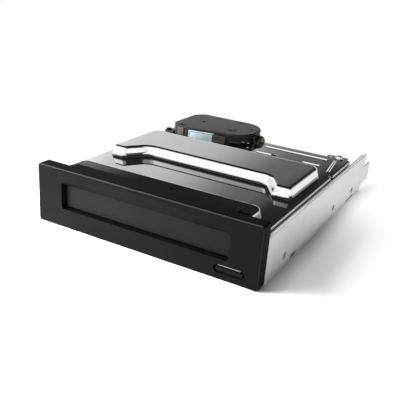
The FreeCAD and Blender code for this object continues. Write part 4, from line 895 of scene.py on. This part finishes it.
def button_highlight():
    """Painted highlight: a bright strip along the top of the eject button."""
    low, high = corners_of("eject_button")
    foot = (low.x + EDGE_END, low.y + HAIR, high.z - EDGE_HIGH)
    top = (high.x - EDGE_END, low.y + EDGE_DEEP, high.z - EDGE_LOW)
    add_boxes("button_highlight", "button", "button_highlight_grey", [(foot, top)])


def motor_collar():
    """Black end wall of the housing in front of the motor."""
    box_high = corners_of("gearbox_base")[1]
    cap_low = corners_of("motor_end_cap")[0]
    low = (box_high.x - SHELF_GAP, cap_low.y - COLLAR, cover_top_z() + HAIR)
    high = (box_high.x + COLLAR_REACH, cap_low.y + COLLAR_COVER, box_high.z)
    add_boxes("motor_collar", "chassis", "housing_black", [(low, high)], COLLAR)


def cover_rivet():
    """A low rivet beside the screw of the cover's rear tab."""
    low, high = corners_of("cover_screw")
    seat = high.z - SCREW_HEAD
    place = (low.x - RIVET_SIDE, (low.y + high.y) / 2, seat)
    add_drums("cover_rivet", "chassis", "screw_steel", [(place, RIVET_R, RIVET_TALL)], 2, RIVET_TALL / 3)


def motor_details():
    """Brass bushing and the two solder tabs on the motor's end cap."""
    low, high = corners_of("motor_end_cap")
    middle = (low + high) / 2
    bushing = ((high.x, middle.y, middle.z), BUSHING_R, BUSHING)
    add_drums("motor_bushing", "chassis", "worm_brass", [bushing], 0, BUSHING / 4)
    tabs = []
    for side in (-1, 1):
        y = middle.y + side * TAB_SPREAD
        tabs.append(((high.x, y - TAB_HALF, middle.z - TAB_TALL),
                     (high.x + TAB_THICK, y + TAB_HALF, middle.z + TAB_TALL)))
    add_boxes("motor_tabs", "chassis", "solder_tin", tabs, TAB_THICK / 3)


def chip_legs():
    """Legs on all four sides of the large chips."""
    boxes = []
    for low, high in solids_of("board_chips"):
        for axis in (0, 1):
            other = 1 - axis
            span = high[axis] - low[axis]
            count = int(span / LEG_PITCH) - 1
            first = (low[axis] + high[axis] - (count - 1) * LEG_PITCH) / 2
            for i in range(count):
                for edge, out in ((low[other], -1), (high[other], 1)):
                    ends = sorted((edge, edge + out * LEG_LENGTH))
                    a = [0.0, 0.0, low.z]
                    b = [0.0, 0.0, low.z + LEG_THICK]
                    a[axis] = first + i * LEG_PITCH - LEG_WIDTH / 2
                    b[axis] = a[axis] + LEG_WIDTH
                    a[other], b[other] = ends
                    boxes.append((a, b))
    add_boxes("chip_legs", "chassis", "solder_tin", boxes)


def small_parts_on_board():
    """A row of chip resistors and one of capacitors between the large chips."""
    board_top = corners_of("circuit_board")[1].z
    chips = solids_of("board_chips")
    row_y = (min(c[1].y for c in chips) + max(c[0].y for c in chips)) / 2
    for name, material, shift, height in SMALL_ROWS:
        boxes = []
        for i in range(SMALL_COUNT):
            x = (i - (SMALL_COUNT - 1) / 2) * SMALL_PITCH
            y = row_y + shift * SMALL_ROW
            boxes.append(((x - SMALL_LONG / 2, y - SMALL_LONG / 4, board_top),
                          (x + SMALL_LONG / 2, y + SMALL_LONG / 4, board_top + height)))
        add_boxes("board_" + name, "chassis", material, boxes, SMALL_LONG / 12)


def connector_contacts():
    """Gold contacts on the rear connector's two tongues."""
    low, high = corners_of("rear_connector")
    tongue_top = (low.z + high.z) / 2 + TONGUE_HALF
    boxes = []
    for start, count in ((DATA_START, DATA_COUNT), (POWER_START, POWER_COUNT)):
        for i in range(count):
            x = low.x + start + i * CONTACT_PITCH
            boxes.append(((x, high.y - CONTACT_REACH, tongue_top - CONTACT_PROUD),
                          (x + CONTACT_WIDTH, high.y - CONTACT_END, tongue_top + CONTACT_PROUD)))
    add_boxes("connector_contacts", "chassis", "contact_gold", boxes)


def socket_pins():
    """Pins of the board's sockets, 1 mm apart."""
    boxes = []
    for low, high in solids_of("board_sockets"):
        middle = (low.y + high.y) / 2
        count = int((high.x - low.x) / MM) - 2
        for i in range(count):
            x = (low.x + high.x) / 2 + (i - (count - 1) / 2) * MM
            boxes.append(((x - LEG_WIDTH / 2, middle - LEG_LENGTH, (low.z + high.z) / 2 - LEG_THICK),
                          (x + LEG_WIDTH / 2, middle + LEG_THICK, (low.z + high.z) / 2 + LEG_THICK)))
    add_boxes("socket_pins", "chassis", "contact_gold", boxes)


def capacitor_sleeves():
    """Dark sleeves round the capacitors."""
    drums = []
    for low, high in solids_of("board_capacitors"):
        middle = (low + high) / 2
        radius = (high.x - low.x) / 2 + SLEEVE
        drums.append(((middle.x, middle.y, low.z), radius, (high.z - low.z) * SLEEVE_SHARE))
    add_drums("capacitor_sleeves", "chassis", "sleeve_black", drums, 2)


housing_seam()
side_panel()
label_frame()
end_flange()
front_plate()
wall_lips()
cover_shelf()
bead_steps()
motor_collar()
button_highlight()
motor_details()
cover_rivet()
chip_legs()
small_parts_on_board()
connector_contacts()
socket_pins()
capacitor_sleeves()


# Camera, floor and light


def add_camera():
    """The photo's camera."""
    data = bpy.data.cameras.new("camera")
    camera = bpy.data.objects.new("camera", data)
    bpy.context.scene.collection.objects.link(camera)
    right = Vector(CAMERA_RIGHT)
    upward = -Vector(CAMERA_DOWN)
    backward = -Vector(CAMERA_FORWARD)
    turn = Matrix((right, upward, backward)).transposed()
    camera.matrix_world = Matrix.Translation(CAMERA_PLACE) @ turn.to_4x4()
    data.lens = CAMERA_LENS
    data.sensor_width = SENSOR
    data.clip_start = CLIP_START
    bpy.context.scene.camera = camera


def whiten_far_floor(shader, kept):
    """Away from the drive the camera sees plain white paper."""
    tree = shader.tree
    length = tree.nodes.new("ShaderNodeVectorMath")
    length.operation = "LENGTH"
    shifted = tree.nodes.new("ShaderNodeVectorMath")
    shifted.operation = "SUBTRACT"
    shader.link(shader.place, shifted.inputs[0])
    shifted.inputs[1].default_value = FLOOR_MIDDLE
    shader.link(shifted.outputs["Vector"], length.inputs[0])
    share = shader.node("ShaderNodeMapRange", From_Min=FLOOR_NEAR, From_Max=FLOOR_FAR)
    share.interpolation_type = "SMOOTHSTEP"
    shader.link(length.outputs["Value"], share.inputs["Value"])
    path = tree.nodes.new("ShaderNodeLightPath")
    seen = maths(tree, "MAXIMUM", path.outputs["Is Camera Ray"], path.outputs["Is Glossy Ray"])
    whitened = maths(tree, "MULTIPLY", seen, maths(tree, "MULTIPLY", share.outputs["Result"], kept))
    white = shader.node("ShaderNodeEmission", Strength=1.0)
    mix = tree.nodes.new("ShaderNodeMixShader")
    shader.link(whitened, mix.inputs["Fac"])
    shader.link(shader.surface.outputs["BSDF"], mix.inputs[1])
    shader.link(white.outputs["Emission"], mix.inputs[2])
    shader.link(mix.outputs["Shader"], tree.nodes["Material Output"].inputs["Surface"])


def shade_the_foot(shader):
    """Painted contact shadow on the paper close to the drive's right wall; gives the share of light that is
    left.
    """
    tree = shader.tree
    near = tree.nodes.new("ShaderNodeAmbientOcclusion")
    near.inputs["Distance"].default_value = FOOT_SHADE_REACH
    open_share = spread(tree, near.outputs["AO"], *FOOT_SHADE_OPEN, FOOT_SHADE, 1.0)
    beside = spread(tree, parts_of(tree, shader.place)["X"], *FOOT_SHADE_SIDE, 0.0, 1.0)
    kept = maths(tree, "MULTIPLY_ADD", maths(tree, "SUBTRACT", open_share, 1.0), beside, 1.0)
    # Painted shadow: the paper's colour is scaled down near the wall
    scale_colour(tree, shader.surface, kept)
    return kept


def add_floor():
    """Pale paper that the drive stands on."""
    bpy.ops.mesh.primitive_plane_add(size=FLOOR_SIZE)
    floor = bpy.context.object
    floor.name = "floor"
    shader = Shader("floor_paper")
    shader.colour(shader.noise(2.0), FLOOR_COLOUR, contrast=0.005)
    shader.set(Roughness=0.9, Specular_IOR_Level=0.0)
    whiten_far_floor(shader, shade_the_foot(shader))
    floor.data.materials.append(shader.material)


def add_softbox(name, place, size, power, stretch=1.0):
    """A lamp that faces the drive and shows in nothing; it may be stretched sideways."""
    data = bpy.data.lights.new(name, "AREA")
    data.shape = "RECTANGLE"
    data.size = size * stretch
    data.size_y = size
    data.energy = power
    light = bpy.data.objects.new(name, data)
    light.location = place
    aim = Vector((0, 0, 0)) - Vector(place)
    light.rotation_euler = aim.to_track_quat("-Z", "Y").to_euler()
    bpy.context.scene.collection.objects.link(light)
    light.visible_camera = False
    light.visible_glossy = False


def grey_ramp(tree, value, stops):
    """Brightness along a value, as pairs of place and grey."""
    ramp = tree.nodes.new("ShaderNodeValToRGB")
    elements = ramp.color_ramp.elements
    (first, first_grey), (last, last_grey) = stops[0], stops[-1]
    elements[0].position, elements[1].position = first, last
    elements[0].color = (first_grey, first_grey, first_grey, 1)
    elements[1].color = (last_grey, last_grey, last_grey, 1)
    for place, grey in stops[1:-1]:
        elements.new(place).color = (grey, grey, grey, 1)
    tree.links.new(value, ramp.inputs["Fac"])
    return ramp.outputs["Color"]


def round_ramp(tree, azimuth, stops):
    """Brightness round the room, as pairs of an angle in degrees and a grey."""
    return grey_ramp(tree, spread(tree, azimuth, -math.pi, math.pi, 0.0, 1.0),
                     [(0.5 + angle / 360, grey) for angle, grey in stops])


def skirting(tree, rise, turn):
    """The low bright strip at the foot of the far wall, dimmer to the right."""
    high = grey_ramp(tree, spread(tree, rise, 0.0, math.pi / 2, 0.0, 1.0),
                     [(angle / 90, grey) for angle, grey in LOW_WALL])
    return maths(tree, "MULTIPLY", high, round_ramp(tree, turn, LOW_WALL_AROUND))


def add_sky():
    """A white room with a dark ceiling and a dark far wall, which the polished cover reflects."""
    world = bpy.data.worlds.new("room")
    bpy.context.scene.world = world
    world.use_nodes = True
    tree = world.node_tree
    background = tree.nodes["Background"]
    ahead = parts_of(tree, tree.nodes.new("ShaderNodeTexCoord").outputs["Generated"])
    turn = maths(tree, "ARCTAN2", ahead["X"], ahead["Y"])
    rise = maths(tree, "ARCSINE", ahead["Z"])
    slanted = maths(tree, "MULTIPLY_ADD", rise, WALL_SLANT, turn)
    around = round_ramp(tree, slanted, FAR_WALL)
    # On the front's side the wall reaches higher up
    share = spread(tree, ahead["Y"], -FRONT_EDGE, FRONT_EDGE, FRONT_SHARE, 1.0)
    height = maths(tree, "MULTIPLY", ahead["Z"], share)
    upward = grey_ramp(tree, height,
                       [(math.sin(math.radians(angle)), grey) for angle, grey in WALL_TO_CEILING])
    wall = maths(tree, "MAXIMUM", maths(tree, "MULTIPLY", around, upward), skirting(tree, rise, turn))
    path = tree.nodes.new("ShaderNodeLightPath")
    dimmer = spread(tree, path.outputs["Is Diffuse Ray"], 0.0, 1.0, 1.0, DIFFUSE_SHARE)
    light = maths(tree, "MULTIPLY", maths(tree, "MAXIMUM", wall, CEILING), dimmer)
    mix = tree.nodes.new("ShaderNodeMix")
    tree.links.new(path.outputs["Is Camera Ray"], mix.inputs["Factor"])
    tree.links.new(light, mix.inputs[2])
    mix.inputs[3].default_value = 1 / SKY_STRENGTH
    tree.links.new(mix.outputs[0], background.inputs["Color"])
    background.inputs["Strength"].default_value = SKY_STRENGTH


add_camera()
add_floor()
add_sky()
add_softbox("key_light", KEY_PLACE, KEY_SIZE, KEY_POWER)
add_softbox("fill_light", FILL_PLACE, FILL_SIZE, FILL_POWER)
add_softbox("side_light", SIDE_PLACE, SIDE_SIZE, SIDE_POWER, SIDE_STRETCH)

view = bpy.context.scene.view_settings
view.view_transform = "Standard"
view.look = "None"
